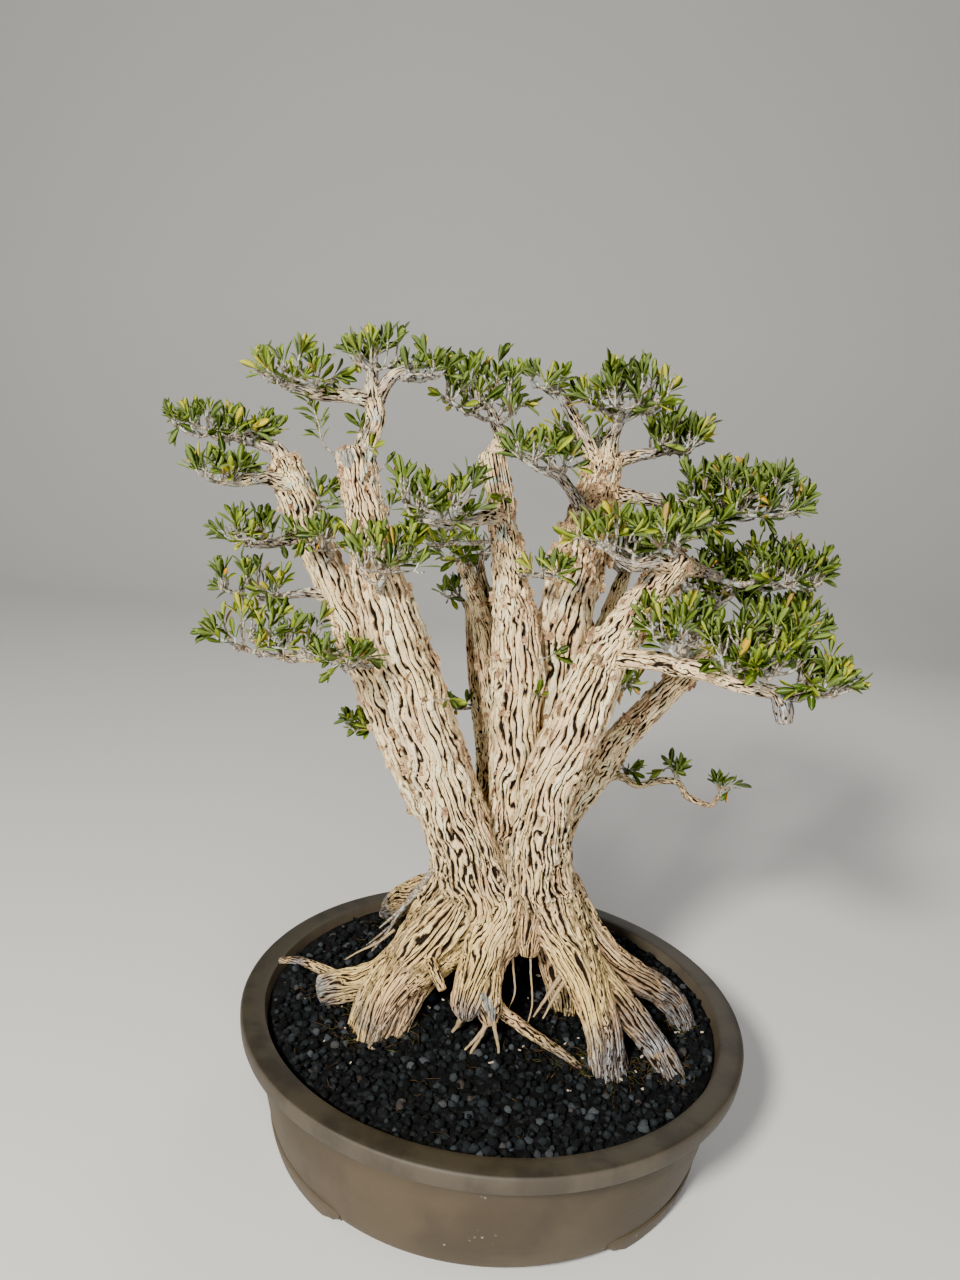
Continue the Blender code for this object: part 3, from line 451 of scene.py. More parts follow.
# %% The pads, in millimetres
PADS = {
    "spray_top_left": (
        [(-172, -42, 626), (-190, -45, 629), (-201, -46, 633), (-216, -46, 641)],
        (-191, -44, 646), (37, 32, 21), 30),
    "spray_top_left_upright": (
        [(-134, -37, 634), (-136, -36, 650), (-131, -34, 666)], (-136, -34, 665), (22, 24, 21), 15),
    "spray_top_left_fork": (
        [(-110, -35, 650), (-100, -33, 654), (-88, -32, 658)], (-101, -33, 656), (24, 28, 17), 15),
    "spray_far_left": (
        [(-232, 27, 584), (-258, 31, 588), (-283, 33, 592), (-302, 34, 600)],
        (-263, 30, 601), (52, 34, 19), 46),
    "spray_left_hook": (
        [(-240, -6, 554), (-254, -10, 553), (-270, -12, 563)], (-254, -10, 568), (29, 24, 19), 19),
    "spray_left_upper": (
        [(-218, 7, 504), (-236, 5, 503), (-253, 4, 507)], (-230, 5, 517), (33, 24, 17), 20),
    "spray_left_middle": (
        [(-186, 9, 466), (-206, 9, 461), (-230, 8, 459), (-256, 7, 464)],
        (-232, 8, 475), (34, 24, 20), 18),
    "spray_left_low": (
        [(-165, -54, 427), (-190, -60, 427), (-217, -62, 431), (-246, -60, 442)],
        (-202, -57, 447), (54, 30, 24), 40),
    "spray_left_low_inner": (
        [(-121, -60, 426), (-128, -82, 432), (-142, -88, 438)], (-138, -82, 442), (23, 22, 16), 12),
    "spray_on_break": (
        [(-116, -60, 484), (-114, -76, 497), (-102, -80, 510)], (-114, -72, 517), (34, 28, 24), 28),
    "spray_behind_break": (
        [(-165, 0, 498), (-164, -14, 510), (-172, -24, 520)], (-170, -14, 523), (26, 20, 18), 14),
    "spray_between_leaders": (
        [(-178, 6, 538), (-176, -6, 546), (-166, -12, 556)], (-169, -6, 552), (18, 13, 15), 7),
    "spray_centre_left": (
        [(-62, -45, 538), (-80, -56, 539), (-98, -60, 545), (-106, -62, 562)],
        (-76, -56, 563), (40, 28, 27), 34),
    "spray_centre_low": (
        [(-35, 2, 522), (-66, -18, 520), (-94, -28, 520)], (-76, -20, 526), (24, 14, 11), 8),
    "spray_centre_top": (
        [(-39, -3, 615), (-45, -8, 626), (-56, -12, 638), (-66, -14, 648)],
        (-51, -10, 644), (37, 34, 33), 38),
    "spray_top_arch": (
        [(9, 10, 643), (-2, 5, 650), (-12, 2, 658)], (-6, 5, 657), (18, 18, 15), 9),
    "spray_top_right": (
        [(55, 16, 614), (62, 8, 632), (76, 2, 642), (92, -2, 650)],
        (60, 4, 652), (42, 36, 28), 42),
    "spray_centre_front": (
        [(10, -55, 582), (-6, -66, 586), (-22, -72, 596)], (-2, -68, 603), (31, 26, 18), 22),
    "spray_right_top": (
        [(90, 30, 602), (108, 31, 607), (124, 30, 620)], (108, 30, 623), (28, 28, 23), 22),
    "spray_front_top": (
        [(68, -87, 523), (54, -92, 529), (38, -93, 541)], (48, -92, 552), (28, 24, 22), 20),
    "spray_front_top_right": (
        [(100, -70, 527), (100, -80, 538), (90, -84, 548)], (90, -82, 554), (23, 22, 21), 14),
    "spray_right_upper": (
        [(110, 18, 564), (140, 14, 561), (174, 11, 560), (210, 8, 568)],
        (164, 12, 579), (59, 38, 28), 64),
    "spray_right_middle": (
        [(155, 10, 507), (180, 26, 500), (208, 32, 501), (242, 32, 512)],
        (198, 24, 520), (58, 34, 27), 50),
    "spray_right_low": (
        [(186, 40, 450), (206, 33, 460), (224, 22, 466), (244, 16, 474)],
        (214, 24, 479), (40, 34, 24), 36),
    "spray_long_branch_inner": (
        [(108, -96, 459), (110, -104, 472), (100, -104, 486)], (106, -102, 488), (29, 27, 26), 26),
    "spray_long_branch_middle": (
        [(150, -119, 454), (152, -124, 468), (166, -126, 482)], (156, -122, 480), (37, 30, 30), 40),
    "spray_long_branch_tip": (
        [(184, -130, 447), (198, -130, 453), (212, -128, 462)], (200, -129, 465), (24, 24, 23), 19),
    "spray_back_stem": (
        [(-57, 84, 490), (-66, 86, 500), (-74, 88, 506)], (-66, 86, 506), (20, 20, 15), 10),
    "spray_thin_stem": (
        [(-44, 98, 490), (-42, 104, 500), (-34, 110, 508)], (-36, 106, 510), (20, 20, 15), 10),
    "spray_far_stem": (
        [(-52, 138, 438), (-58, 142, 448), (-68, 144, 458)], (-60, 142, 458), (22, 22, 16), 10),
    "spray_far_stem_low": (
        [(-38, 114, 350), (-54, 112, 348), (-60, 110, 354)], (-54, 111, 356), (12, 12, 10), 4),
    "spray_hidden_back": (
        [(88, 96, 492), (92, 92, 503), (84, 94, 514), (76, 104, 524)],
        (84, 97, 521), (34, 30, 23), 24),
    "spray_hidden_back_low": (
        [(64, 104, 396), (90, 120, 388), (108, 124, 382)], (96, 121, 391), (24, 22, 15), 11),
    "spray_back_top": (
        [(42, 78, 606), (38, 92, 610), (28, 108, 614)], (34, 96, 618), (30, 28, 20), 19),
    "spray_low_back_near": (
        [(108, 100, 296), (116, 106, 304)], (115, 106, 306), (10, 10, 9), 4),
    "spray_low_back_middle": (
        [(163, 127, 287), (168, 130, 300)], (167, 130, 303), (10, 10, 10), 4),
    "spray_low_back_tip": (
        [(214, 142, 272), (218, 144, 283)], (217, 144, 285), (10, 10, 9), 4),
    "spray_back_left_low": (
        [(-100, 18, 348), (-136, 70, 336), (-152, 96, 334)], (-138, 76, 342), (22, 26, 14), 10),
    "sprout_between_tops": (
        [(-8, -10, 498), (14, -32, 504), (18, -38, 512)], (13, -34, 511), (18, 16, 15), 8),
}
FILLERS = {
    "filler_right_inner": (
        [(141, 34, 440), (150, 24, 470), (160, 20, 484)], (150, 26, 506), (36, 30, 22), 24),
    "filler_right_upper_inner": (
        [(110, 18, 564), (120, 0, 556), (128, -10, 548)], (126, -4, 560), (30, 26, 18), 18),
    "filler_behind_long_branch": (
        [(141, 34, 420), (170, 10, 440), (190, -10, 448)], (176, -20, 462), (40, 34, 20), 22),
}
print("pads:", len(PADS), "shoots:", sum(pad[3] for pad in PADS.values()))

# %% [markdown]
# ## The bark's relief
# Old boxwood bark splits into long narrow strips with dark cracks between them. The strips
# are counted round the stem, and a slow noise pushes their edges from side to side, so the
# cracks run along the stem, wander, and now and then touch. A cell pattern breaks the
# strips up. All of it is worked out in the stem's own unrolled space, so it follows every
# bend, and it moves the mesh, because the cracks show on the outline too. Where a stem is
# thick, its strips are wide, and a second set of cracks splits them along their middles.

# %% Strips and cracks as a height
STRIP_WIDTH, BREAK_LENGTH = 5.4, 34.0
CRACK_DEPTH, CRACK_DEEPEST = 0.16, 3.4
GROWN_RADIUS, LEAST_GROWN = 18, 0.28
SPLIT_FROM_RADIUS, SPLIT_WIDEST_RADIUS = 20.0, 25.0
PLATE_RISE, DOME_RISE, FLAKE_RISE, SPLIT_SHARE = 0.40, 0.45, 0.50, 0.6
SWELL_SHARE, GRIT_RISE = 0.10, 0.25
WANDER = ((1.05, 15, 52, 1), (0.75, 34, 27, 3), (0.50, 6, 20, 1), (0.20, 2.6, 8, 1))


def smoothstep(low, high, value):
    share = min(1.0, max(0.0, (value - low) / (high - low)))
    return share * share * (3 - 2 * share)


def bark_at(angle, along, radius, strips, seed):
    """Height in mm, place across the strips in turns, openness and plate, at one place of a skin."""
    grown = min(1.0, max(LEAST_GROWN, radius / GROWN_RADIUS))
    x, y = radius * math.cos(angle) / grown, radius * math.sin(angle) / grown
    along /= grown
    wander = 0.0
    for share, breadth, length, shift in WANDER:
        wander += share * noise.noise(Vector((x / breadth, y / breadth, along / length + seed * shift)))
    across = angle / (2 * math.pi) * strips + wander
    strip = math.floor(across)
    edge = 0.5 - abs(across - strip - 0.5)
    strip %= strips
    to_edge = edge * 2 * math.pi * radius / strips / grown
    openness = smoothstep(-0.60, 0.20, noise.noise(Vector((x / 15, y / 15, along / 62 + seed * 2))))
    groove = (1 - smoothstep(0.0, 1.1 + 0.5 * openness, to_edge)) * openness
    piece = math.floor(along / BREAK_LENGTH + 5 * noise.cell(Vector((strip + 0.5, seed, 1.5))))
    plate = noise.cell(Vector((strip + 0.5, piece + 0.5, seed + 0.5)))
    depth = min(CRACK_DEEPEST, radius * CRACK_DEPTH)
    to_middle = (0.5 - edge) * 2 * math.pi * radius / strips / grown
    wide = smoothstep(SPLIT_FROM_RADIUS, SPLIT_WIDEST_RADIUS, radius)
    split = (1 - smoothstep(0.0, 1.0, to_middle)) * wide * openness
    grit = noise.noise(Vector((x * 0.5, y * 0.5, along * 0.2 + seed)))
    flake = noise.noise(Vector((x / 4.2, y / 4.2, along / 11 + seed)))
    swell = noise.noise(Vector((x / 17, y / 17, along / 46 + seed)))
    dome = 1 - (1 - 2 * edge) ** 4
    relief = PLATE_RISE * plate + DOME_RISE * dome - groove - SPLIT_SHARE * split + FLAKE_RISE * flake
    height = radius * SWELL_SHARE * swell + depth * relief + GRIT_RISE * grit
    return height, across, openness, plate


# %% [markdown]
# ## One length of wood
# The relief is laid on a tube whose rings are close together round the stem and further
# apart along it, because a crack is narrow across the grain and long with it. That puts
# the triangles where the detail is. A low dome closes each end like a healed cut.

# %% Sweep one route into a closed length of bark
SIDE_STEP, RING_STEP = 0.88, 3.0
FEWEST_SIDES, MOST_SIDES = 14, 180
FEWEST_STRIPS = 5
SEED_SHIFT = 100
DOME = ((0.90, 0.16), (0.66, 0.30), (0.34, 0.38))


def with_domes(rows):
    """Add shrinking rings beyond both ends of a route, so that the ends are rounded."""
    first, last = rows[0], rows[-1]
    back = unit(rows[0][:3] - rows[1][:3])
    forward = unit(rows[-1][:3] - rows[-2][:3])
    start = [(*(first[:3] + back * first[3] * rise), first[3] * share) for share, rise in DOME[::-1]]
    end = [(*(last[:3] + forward * last[3] * rise), last[3] * share) for share, rise in DOME]
    return np.vstack([start, rows, end])


def circle(steps):
    """Cosine and sine of evenly spaced turns."""
    angles = [2 * math.pi * step / steps for step in range(steps)]
    return [(math.cos(angle), math.sin(angle)) for angle in angles]


def ring_quads(rings, sides):
    """Quads between rings of points."""
    faces = []
    for low in range(0, (rings - 1) * sides, sides):
        for side in range(sides):
            after = (side + 1) % sides
            faces.append((low + side, low + after, low + sides + after, low + sides + side))
    return faces


def ring_faces(rings, sides):
    """Quads between rings of points, and a fan over each end from one point more."""
    faces = ring_quads(rings, sides)
    start, last = rings * sides, (rings - 1) * sides
    for side in range(sides):
        after = (side + 1) % sides
        faces += [(start, after, side), (start + 1, last + side, last + after)]
    return faces


def prism_faces(rings, sides):
    """Quads between rings of points, and one flat face over each end."""
    ends = [tuple(range(sides - 1, -1, -1)), tuple(range((rings - 1) * sides, rings * sides))]
    return ring_quads(rings, sides) + ends


def bark_tube(route, seed):
    """Points and faces of one length of wood, and its patterns: grain, strips and plates."""
    rows = smooth_route(route, RING_STEP)
    girth = 2 * math.pi * rows[:, 3].mean()
    sides = int(np.clip(girth / SIDE_STEP, FEWEST_SIDES, MOST_SIDES))
    strips = max(FEWEST_STRIPS, round(girth / (STRIP_WIDTH * min(1.0, 0.4 + rows[:, 3].mean() * 0.03))))
    rows = with_domes(rows)
    centres, radii = rows[:, :3], rows[:, 3]
    normals, sidewards = carried_frames(centres)[1:]
    lengths = np.concatenate([[0], np.cumsum(np.linalg.norm(np.diff(centres, axis=0), axis=1))])
    points, grain, strips_at, plates = [], [], [], []
    for centre, radius, normal, sideward, along in zip(centres, radii, normals, sidewards, lengths):
        for side, (c, s) in enumerate(circle(sides)):
            angle = 2 * math.pi * side / sides
            height, across, openness, plate = bark_at(angle, along, radius, strips, seed)
            points.append(centre + (normal * c + sideward * s) * (radius + height))
            grain.append((radius * c, radius * s, along + seed * SEED_SHIFT))
            phase = 2 * math.pi * across
            strips_at.append((math.cos(phase), math.sin(phase), openness))
            plates.append(plate)
    for end in (0, -1):
        points.append(centres[end])
        grain.append((0, 0, lengths[end] + seed * SEED_SHIFT))
        strips_at.append((-1, 0, 0.5))
        plates.append(0.5)
    return np.array(points), ring_faces(len(rows), sides), grain, strips_at, plates


# %% [markdown]
# ## The whole trunk in one skin
# The tree grew as one piece, so its lengths are joined by one Boolean union. The pattern's
# own coordinates don't survive a Boolean, so every point of the joined skin looks up the
# nearest point of the separate lengths and takes its values. A few passes of smoothing
# along the seams turn hard creases into the soft folds where stems have grown together.

# %% Join the lengths of wood
SEAM_PASSES = 2
SAME_PLACE = 1e-6


def evaluated_mesh(item):
    return bpy.data.meshes.new_from_object(item.evaluated_get(bpy.context.evaluated_depsgraph_get()))


def combined(target, operation, solver, helper_meshes):
    """The mesh of a target that is joined with, or cut by, other meshes."""
    helpers = bpy.data.collections.new("helpers")
    bpy.context.scene.collection.children.link(helpers)
    for index, mesh in enumerate(helper_meshes, 1):
        linked(f"{target.name}_helper_{index}", mesh, helpers)
    change = target.modifiers.new("Change", "BOOLEAN")
    change.operation = operation
    change.operand_type = "COLLECTION"
    change.collection = helpers
    change.solver = solver
    mesh = evaluated_mesh(target)
    target.modifiers.clear()
    for item in list(helpers.objects):
        bpy.data.objects.remove(item, do_unlink=True)
    bpy.data.collections.remove(helpers)
    return mesh


def wood_mesh(name, points, faces):
    mesh = bpy.data.meshes.new(name)
    mesh.from_pydata((points * MM).tolist(), [], faces)
    mesh.update()
    return mesh


def join_wood(name, lengths, material):
    first, *others = [wood_mesh(name, points, faces) for points, faces in lengths]
    piece = linked(name, first)
    piece.data = combined(piece, "UNION", "MANIFOLD", others)
    piece.data.materials.clear()
    piece.data.materials.append(material)
    return piece


def ease_seams(mesh, tree):
    """Smooth the points that the union made, and their neighbours, without touching the rest."""
    work = bmesh.new()
    work.from_mesh(mesh)
    seam = {v for v in work.verts if tree.find(v.co)[2] > SAME_PLACE}
    seam |= {edge.other_vert(v) for v in list(seam) for edge in v.link_edges}
    for one_pass in range(SEAM_PASSES):
        bmesh.ops.smooth_vert(work, verts=list(seam), factor=0.5,
                              use_axis_x=True, use_axis_y=True, use_axis_z=True)
    work.to_mesh(mesh)
    work.free()
    return len(seam)


# %% [markdown]
# ## The bark's colour
# The plates are cream to pinkish buff and brown along their edges, and down in the cracks
# a painted shade takes them almost to black. Low on the roots the skin turns yellower and,
# where it meets the wet grit, grey.
# High up, pale blue-green lichen sits on the limbs. The stored place across the strips
# says where the cracks run, and finer noise along the grain fills in what the mesh is too
# coarse for. The width of a crack changes from patch to patch, so that none looks drawn.

# %% Bark finish
def crack_ratio(bark, grain):
    """Distance from the nearest crack line, in units of that line's width there."""
    strip = bark.split(bark.stored("strip", "Vector"))
    turn = bark.math("ARCTAN2", strip["Y"], strip["X"])
    distance = bark.math("DIVIDE", bark.math("ABSOLUTE", turn, 0.0), math.pi)
    middle = bark.math("SUBTRACT", 1.0, distance)
    jagged = bark.noise(bark.scaled(grain, (1.0, 1.0, 0.35)), 0.75, 4.0, 0.7)
    ragged = bark.both(bark.math("SUBTRACT", jagged, 0.5), 0.34)
    distance = bark.math("ADD", distance, ragged)
    patchy = bark.noise(bark.scaled(grain, (1.0, 1.0, 0.45)), 0.19, 2.0)
    width = bark.both(strip["Z"], bark.mask(patchy, 0.30, 0.62))
    width = bark.math("ADD", bark.both(width, 0.35), 0.065)
    low_down = bark.mask(bark.along_axis("Z"), 0.36, 0.28)
    split_width = bark.both(low_down, bark.mask(patchy, 0.62, 0.36))
    split_width = bark.math("ADD", bark.both(split_width, 0.16), 0.012)
    split = bark.math("DIVIDE", bark.math("SUBTRACT", middle, ragged), split_width)
    return bark.math("MINIMUM", bark.math("DIVIDE", distance, width), split)


def bark_finish():
    bark = Finish("pale_fissured_bark", 0.86, 0.2)
    place, height, sideways = bark.place(), bark.along_axis("Z"), bark.along_axis("X")
    grain, plate = bark.stored("grain", "Vector"), bark.stored("plate")
    crack = crack_ratio(bark, grain)
    broad = bark.noise(bark.scaled(grain, (1.0, 1.0, 0.5)), 0.045, 3.0)
    fine = bark.noise(bark.scaled(grain, (1.0, 1.0, 0.16)), 0.62, 5.0, 0.65)
    hairline = bark.cells(bark.scaled(grain, (1.0, 1.0, 0.20)), 0.20, "DISTANCE_TO_EDGE")
    cream = bark.mix(bark.mask(broad, 0.44, 0.62), (0.94, 0.73, 0.41), (0.86, 0.60, 0.36))
    flush = bark.mask(bark.noise(place, 14.0, 3.0), 0.42, 0.60)
    cream = bark.mix(bark.mask(plate, 0.2, 1.0), cream, (0.98, 0.85, 0.55))
    low = bark.mask(height, 0.300, 0.160)
    golden = bark.mix(flush, (0.82, 0.57, 0.18), (0.70, 0.43, 0.23))
    cream = bark.mix(bark.both(low, 0.72), cream, golden)
    # Painted shade: the roots on the right, away from the key light, are darkened to a deep brown.
    right_roots_painted_shade = bark.both(bark.mask(sideways, 0.108, 0.135), bark.mask(height, 0.190, 0.155))
    cream = bark.mix(bark.both(right_roots_painted_shade, 0.85), cream, (0.36, 0.235, 0.14))
    wet = bark.both(bark.mask(height, 0.150, 0.118),
                    bark.mask(bark.noise(place, 38.0, 4.0), 0.38, 0.60))
    cream = bark.mix(bark.both(wet, 0.8), cream, (0.27, 0.25, 0.22))
    cream = bark.mix(bark.both(bark.mask(fine, 0.46, 0.32), 0.50), cream, (0.46, 0.30, 0.17))
    high = bark.mask(height, 0.42, 0.54)
    lichen = bark.both(high, bark.mask(bark.noise(place, 55.0, 3.0), 0.55, 0.64))
    cream = bark.mix(bark.both(lichen, 0.8), cream, (0.52, 0.60, 0.52))
    grey = bark.mix(bark.mask(fine, 0.42, 0.60), (0.15, 0.13, 0.12), (0.41, 0.43, 0.45))
    worn = bark.both(bark.stored("worn"), bark.mask(bark.noise(place, 60.0, 4.0), 0.30, 0.52))
    cream = bark.mix(worn, cream, grey)
    thin = bark.both(bark.mask(hairline, 0.022, 0.006), bark.mask(fine, 0.48, 0.56))
    cream = bark.mix(thin, cream, (0.16, 0.09, 0.05))
    # The cracks' own dark brown, then painted shade that takes their cores almost to black.
    cream = bark.mix(bark.both(bark.mask(crack, 2.3, 0.9), 0.75), cream, (0.30, 0.17, 0.08))
    cream = bark.mix(bark.mask(crack, 1.20, 0.75), cream, (0.016, 0.010, 0.007))
    healed = bark.mix(bark.mask(fine, 0.40, 0.60), (0.20, 0.19, 0.17), (0.47, 0.46, 0.40))
    cream = bark.mix(bark.mask(bark.stored("scar"), 0.35, 0.65), cream, healed)
    knot = bark.both(bark.mask(bark.stored("knot"), 0.30, 1.0), 0.85)
    bark.colour(bark.mix(knot, cream, (0.05, 0.03, 0.018)))
    lined = bark.bump(bark.mask(crack, 0.3, 1.8), 0.0024, 1.0)
    rough = bark.bump(fine, 0.0015, 0.9, lined)
    bark.bump(bark.mask(hairline, 0.0, 0.05), 0.0005, 0.7, rough)
    return bark.material


# %% [markdown]
# ## Ridges on the buttresses
# Where an old root leaves the trunk it isn't round: strands of wood stand out along it like
# muscles and run apart into toes at the soil. Each thick root gets a few such strands. A
# strand is a thinner length that keeps close to the root's skin and turns slowly round it.

# %% Strands along the thick roots
RIDGE_COUNT = 4
RIDGE_STEP, RIDGE_SHARE = 9.0, 0.36
RIDGE_TOP, RIDGE_FOOT = 235.0, 112.0
THICK_ROOT = 12.0


def ridges(route, draw):
    """Routes of the strands along one root, from its toe up to the waist."""
    rows = smooth_route(route, RIDGE_STEP)
    rows = rows[rows[:, 2] < RIDGE_TOP]
    if len(rows) < 6 or rows[:, 3].max() < THICK_ROOT:
        return []
    normals, sidewards = carried_frames(rows[:, :3])[1:]
    strands = []
    first = draw.uniform(0, 2 * math.pi)
    for strand in range(RIDGE_COUNT):
        angle = first + strand * 2 * math.pi / RIDGE_COUNT + draw.uniform(-0.35, 0.35)
        turn = draw.uniform(-0.09, 0.09)
        rise = draw.randint(0, 3)
        line = []
        for index, row in enumerate(rows[:len(rows) - rise]):
            around = angle + turn * index
            outward = normals[index] * math.cos(around) + sidewards[index] * math.sin(around)
            spread = 0.80 + 0.32 * max(0.0, 1 - index / 4)
            radius = row[3] * RIDGE_SHARE * draw.uniform(0.85, 1.15)
            line.append((*(row[:3] + outward * row[3] * spread), radius))
        if line[0][2] < RIDGE_FOOT:
            strands.append(line)
    return strands


# %% [markdown]
# ## Marks of age
# Some places on the wood tell its history: root tips bleached grey by weather, cuts that
# have healed over, and dark knots. Each is listed as a spot or a short line with its
# reach, and every point of the bark is given a number that says how near one it is.

# %% Weathered tips, healed cuts and knots
WEATHERED = (
    ((98, -92, 118), 28), ((110, -88, 118), 22), ((135, -70, 124), 34), ((150, -78, 118), 24),
    ((122, -64, 134), 20), ((-152, -26, 124), 14), ((158, -14, 128), 34), ((-118, 140, 120), 24),
    ((176, -128, 440), 18), ((-180, -2, 133), 12), ((-22, -78, 152), 12))
SCARS = (
    ((-12, -84, 170), (-2, -86, 152), 3.9), ((-159, -22, 124), (-155, -30, 128), 9.0),
    ((-156, -50, 588), (-150, -50, 582), 7.5))
KNOTS = (
    ((49, -72, 449), (53, -74, 448), 4.6), ((-30, -88, 152), (-29, -88, 150), 3.0),
    ((-26, -40, 318), (-25, -42, 312), 4.0), ((10, -12, 350), (10, -12, 346), 3.5))


def near_lines(points, lines):
    """1 on the given short lines, falling to 0 at each one's reach."""
    nearness = np.zeros(len(points))
    for start, end, reach in lines:
        start, run = np.array(start, float), np.array(end, float) - np.array(start, float)
        share = np.clip((points - start) @ run / (run @ run), 0, 1)[:, None]
        distance = np.linalg.norm(points - start - share * run, axis=1) / reach
        nearness = np.maximum(nearness, np.clip(3.5 * (1.15 - distance), 0, 1))
    return nearness


def worn_places(points):
    """How weathered each point is, from 0 to 1."""
    worn = np.zeros(len(points))
    for centre, reach in WEATHERED:
        distance = np.linalg.norm(points - np.array(centre), axis=1) / reach
        worn = np.maximum(worn, np.clip(1.6 - distance, 0, 1))
    return worn


# %% [markdown]
# ## Growing the wood
# The leaders and roots become one piece and the limbs another, so that neither holds too
# many triangles. The flattest triangles are merged until each holds no more than a set
# number. A limb that carries a pad runs on, thinner, along the start of the pad's main twig.

# %% Grow the leaders and roots, then the limbs
MOST_TRIANGLES = 185000
LICHEN_LOWEST, LICHEN_RADIUS = 462.0, 7.0
SEED_STEP = 1.7
FIRST_LIMB_SEED = 60
PAD_NEAR, SMALL_PAD = 8, 8


def thinned(mesh, most):
    """Collapse the flattest parts of a mesh until it holds no more triangles than asked."""
    work = bmesh.new()
    work.from_mesh(mesh)
    bmesh.ops.triangulate(work, faces=work.faces)
    work.to_mesh(mesh)
    work.free()
    if len(mesh.polygons) <= most:
        return mesh
    helper = linked("helper", mesh)
    collapse = helper.modifiers.new("Thin", "DECIMATE")
    collapse.ratio = most / len(mesh.polygons)
    result = evaluated_mesh(helper)
    bpy.data.objects.remove(helper, do_unlink=True)
    return result


def grow_wood(name, routes, first_seed, material, replaced):
    lengths, skins, grain, strips_at, plates = [], [], [], [], []
    for index, route in enumerate(routes):
        points, faces, *patterns = bark_tube(route, SEED_STEP * (first_seed + index))
        lengths.append((points, faces))
        skins.append(points)
        for whole, part in zip((grain, strips_at, plates), patterns):
            whole += part
    skins = np.vstack(skins) * MM
    tree = kdtree.KDTree(len(skins))
    for index, point in enumerate(skins.tolist()):
        tree.insert(point, index)
    tree.balance()
    piece = join_wood(name, lengths, material)
    nearest = [tree.find(vertex.co)[1] for vertex in piece.data.vertices]
    store(piece.data, "grain", "FLOAT_VECTOR", np.array(grain)[nearest])
    store(piece.data, "strip", "FLOAT_VECTOR", np.array(strips_at)[nearest])
    store(piece.data, "plate", "FLOAT", np.array(plates)[nearest])
    places = np.array([vertex.co for vertex in piece.data.vertices]) / MM
    thickness = np.hypot(*np.array(grain)[nearest, :2].T)
    lichened = 0.85 * np.clip((LICHEN_RADIUS - thickness) / 2.5, 0, 1) * (places[:, 2] > LICHEN_LOWEST)
    store(piece.data, "worn", "FLOAT", np.maximum(worn_places(places), lichened))
    store(piece.data, "scar", "FLOAT", near_lines(places, SCARS))
    store(piece.data, "knot", "FLOAT", near_lines(places, KNOTS))
    seam = ease_seams(piece.data, tree)
    piece.data = thinned(piece.data, MOST_TRIANGLES)
    piece.data.name = name
    piece.data.transform(Matrix.Translation(POT_AXIS))
    piece.data.shade_smooth()
    settle(piece, replaced)
    print(name + ":", triangles(piece), "triangles,", seam, "points eased along the seams")
    return piece


def reaching_a_pad(route):
    """A limb that ends at a pad runs on, thinner, along the start of the pad's main twig."""
    for line, centre, half, count in PADS.values():
        if math.dist(line[0], route[-1][:3]) < PAD_NEAR and count > SMALL_PAD:
            return [*route, (*line[1], min(2.8, 0.6 * route[-1][3]))]
    return route


BARK = bark_finish()
strand_draw = random.Random(8)
strands = [strand for route in STEMS.values() for strand in ridges(route, strand_draw)]
trunk = grow_wood("trunk_bark", [*STEMS.values(), *ROOTS.values(), *strands], 0, BARK, ("trunk",))
limb_routes = [reaching_a_pad(route) for route in BRANCHES.values()]
limbs = grow_wood("limb_bark", limb_routes, FIRST_LIMB_SEED, BARK, ("trunk",))

# %% [markdown]
# ## Loose flakes
# High on the leaders the bark lets go: small curled flakes stand off at one edge and make
# the outline ragged. Each flake is a bent plate with an uneven rim. Its place is drawn from
# the bark's own triangles, by area, and the rough leader's top gets more than its share.

# %% Lift flakes off the upper leaders
FLAKE_COUNT = 1500
FLAKE_LOWEST, FLAKE_FADE, FLAKE_HIGHEST = 0.26, 0.30, 0.60
FLAKE_RIM = ((-0.5, -0.3), (-0.1, -0.5), (0.5, -0.25), (0.45, 0.3), (0.0, 0.5), (-0.45, 0.35))
FLAKE_SUNK, FLAKE_THICKNESS = 0.3, 0.45
SHAGGY_PLACE, SHAGGY_REACH = (42, 26, 540), 48


def flake_finish():
    loose = Finish("loose_bark_flake", 0.88, 0.2)
    place = loose.place()
    broad = loose.mask(loose.noise(place, 110.0, 3.0), 0.40, 0.60)
    colour = loose.mix(broad, (0.66, 0.46, 0.25), (0.34, 0.20, 0.11))
    fine = loose.mask(loose.noise(place, 640.0, 3.0), 0.50, 0.64)
    colour = loose.mix(fine, colour, (0.06, 0.035, 0.02))
    loose.colour(colour)
    return loose.material


def flake_plate(spot, outward, loose, draw):
    """Points of one curled flake: its lower skin, then its upper skin."""
    along = unit(np.array((0.0, 0.0, 1.0)) - outward * outward[2])
    lean = draw.uniform(-0.5, 0.5)
    along = along * math.cos(lean) + np.cross(outward, along) * math.sin(lean)
    aside = np.cross(outward, along)
    length, width = draw.uniform(4.0, 11.0), draw.uniform(1.8, 4.4)
    lift, curl = loose * draw.uniform(0.8, 4.0), loose * draw.uniform(0.2, 1.2)
    upper = []
    for u, v in FLAKE_RIM:
        u, v = u + draw.uniform(-0.10, 0.10), v + draw.uniform(-0.12, 0.12)
        height = -FLAKE_SUNK + lift * (v + 0.5) + curl * (2 * u) ** 2 * 0.6
        upper.append(spot + along * u * length + aside * v * width * 1.4 + outward * height)
    return [point - outward * FLAKE_THICKNESS for point in upper] + upper


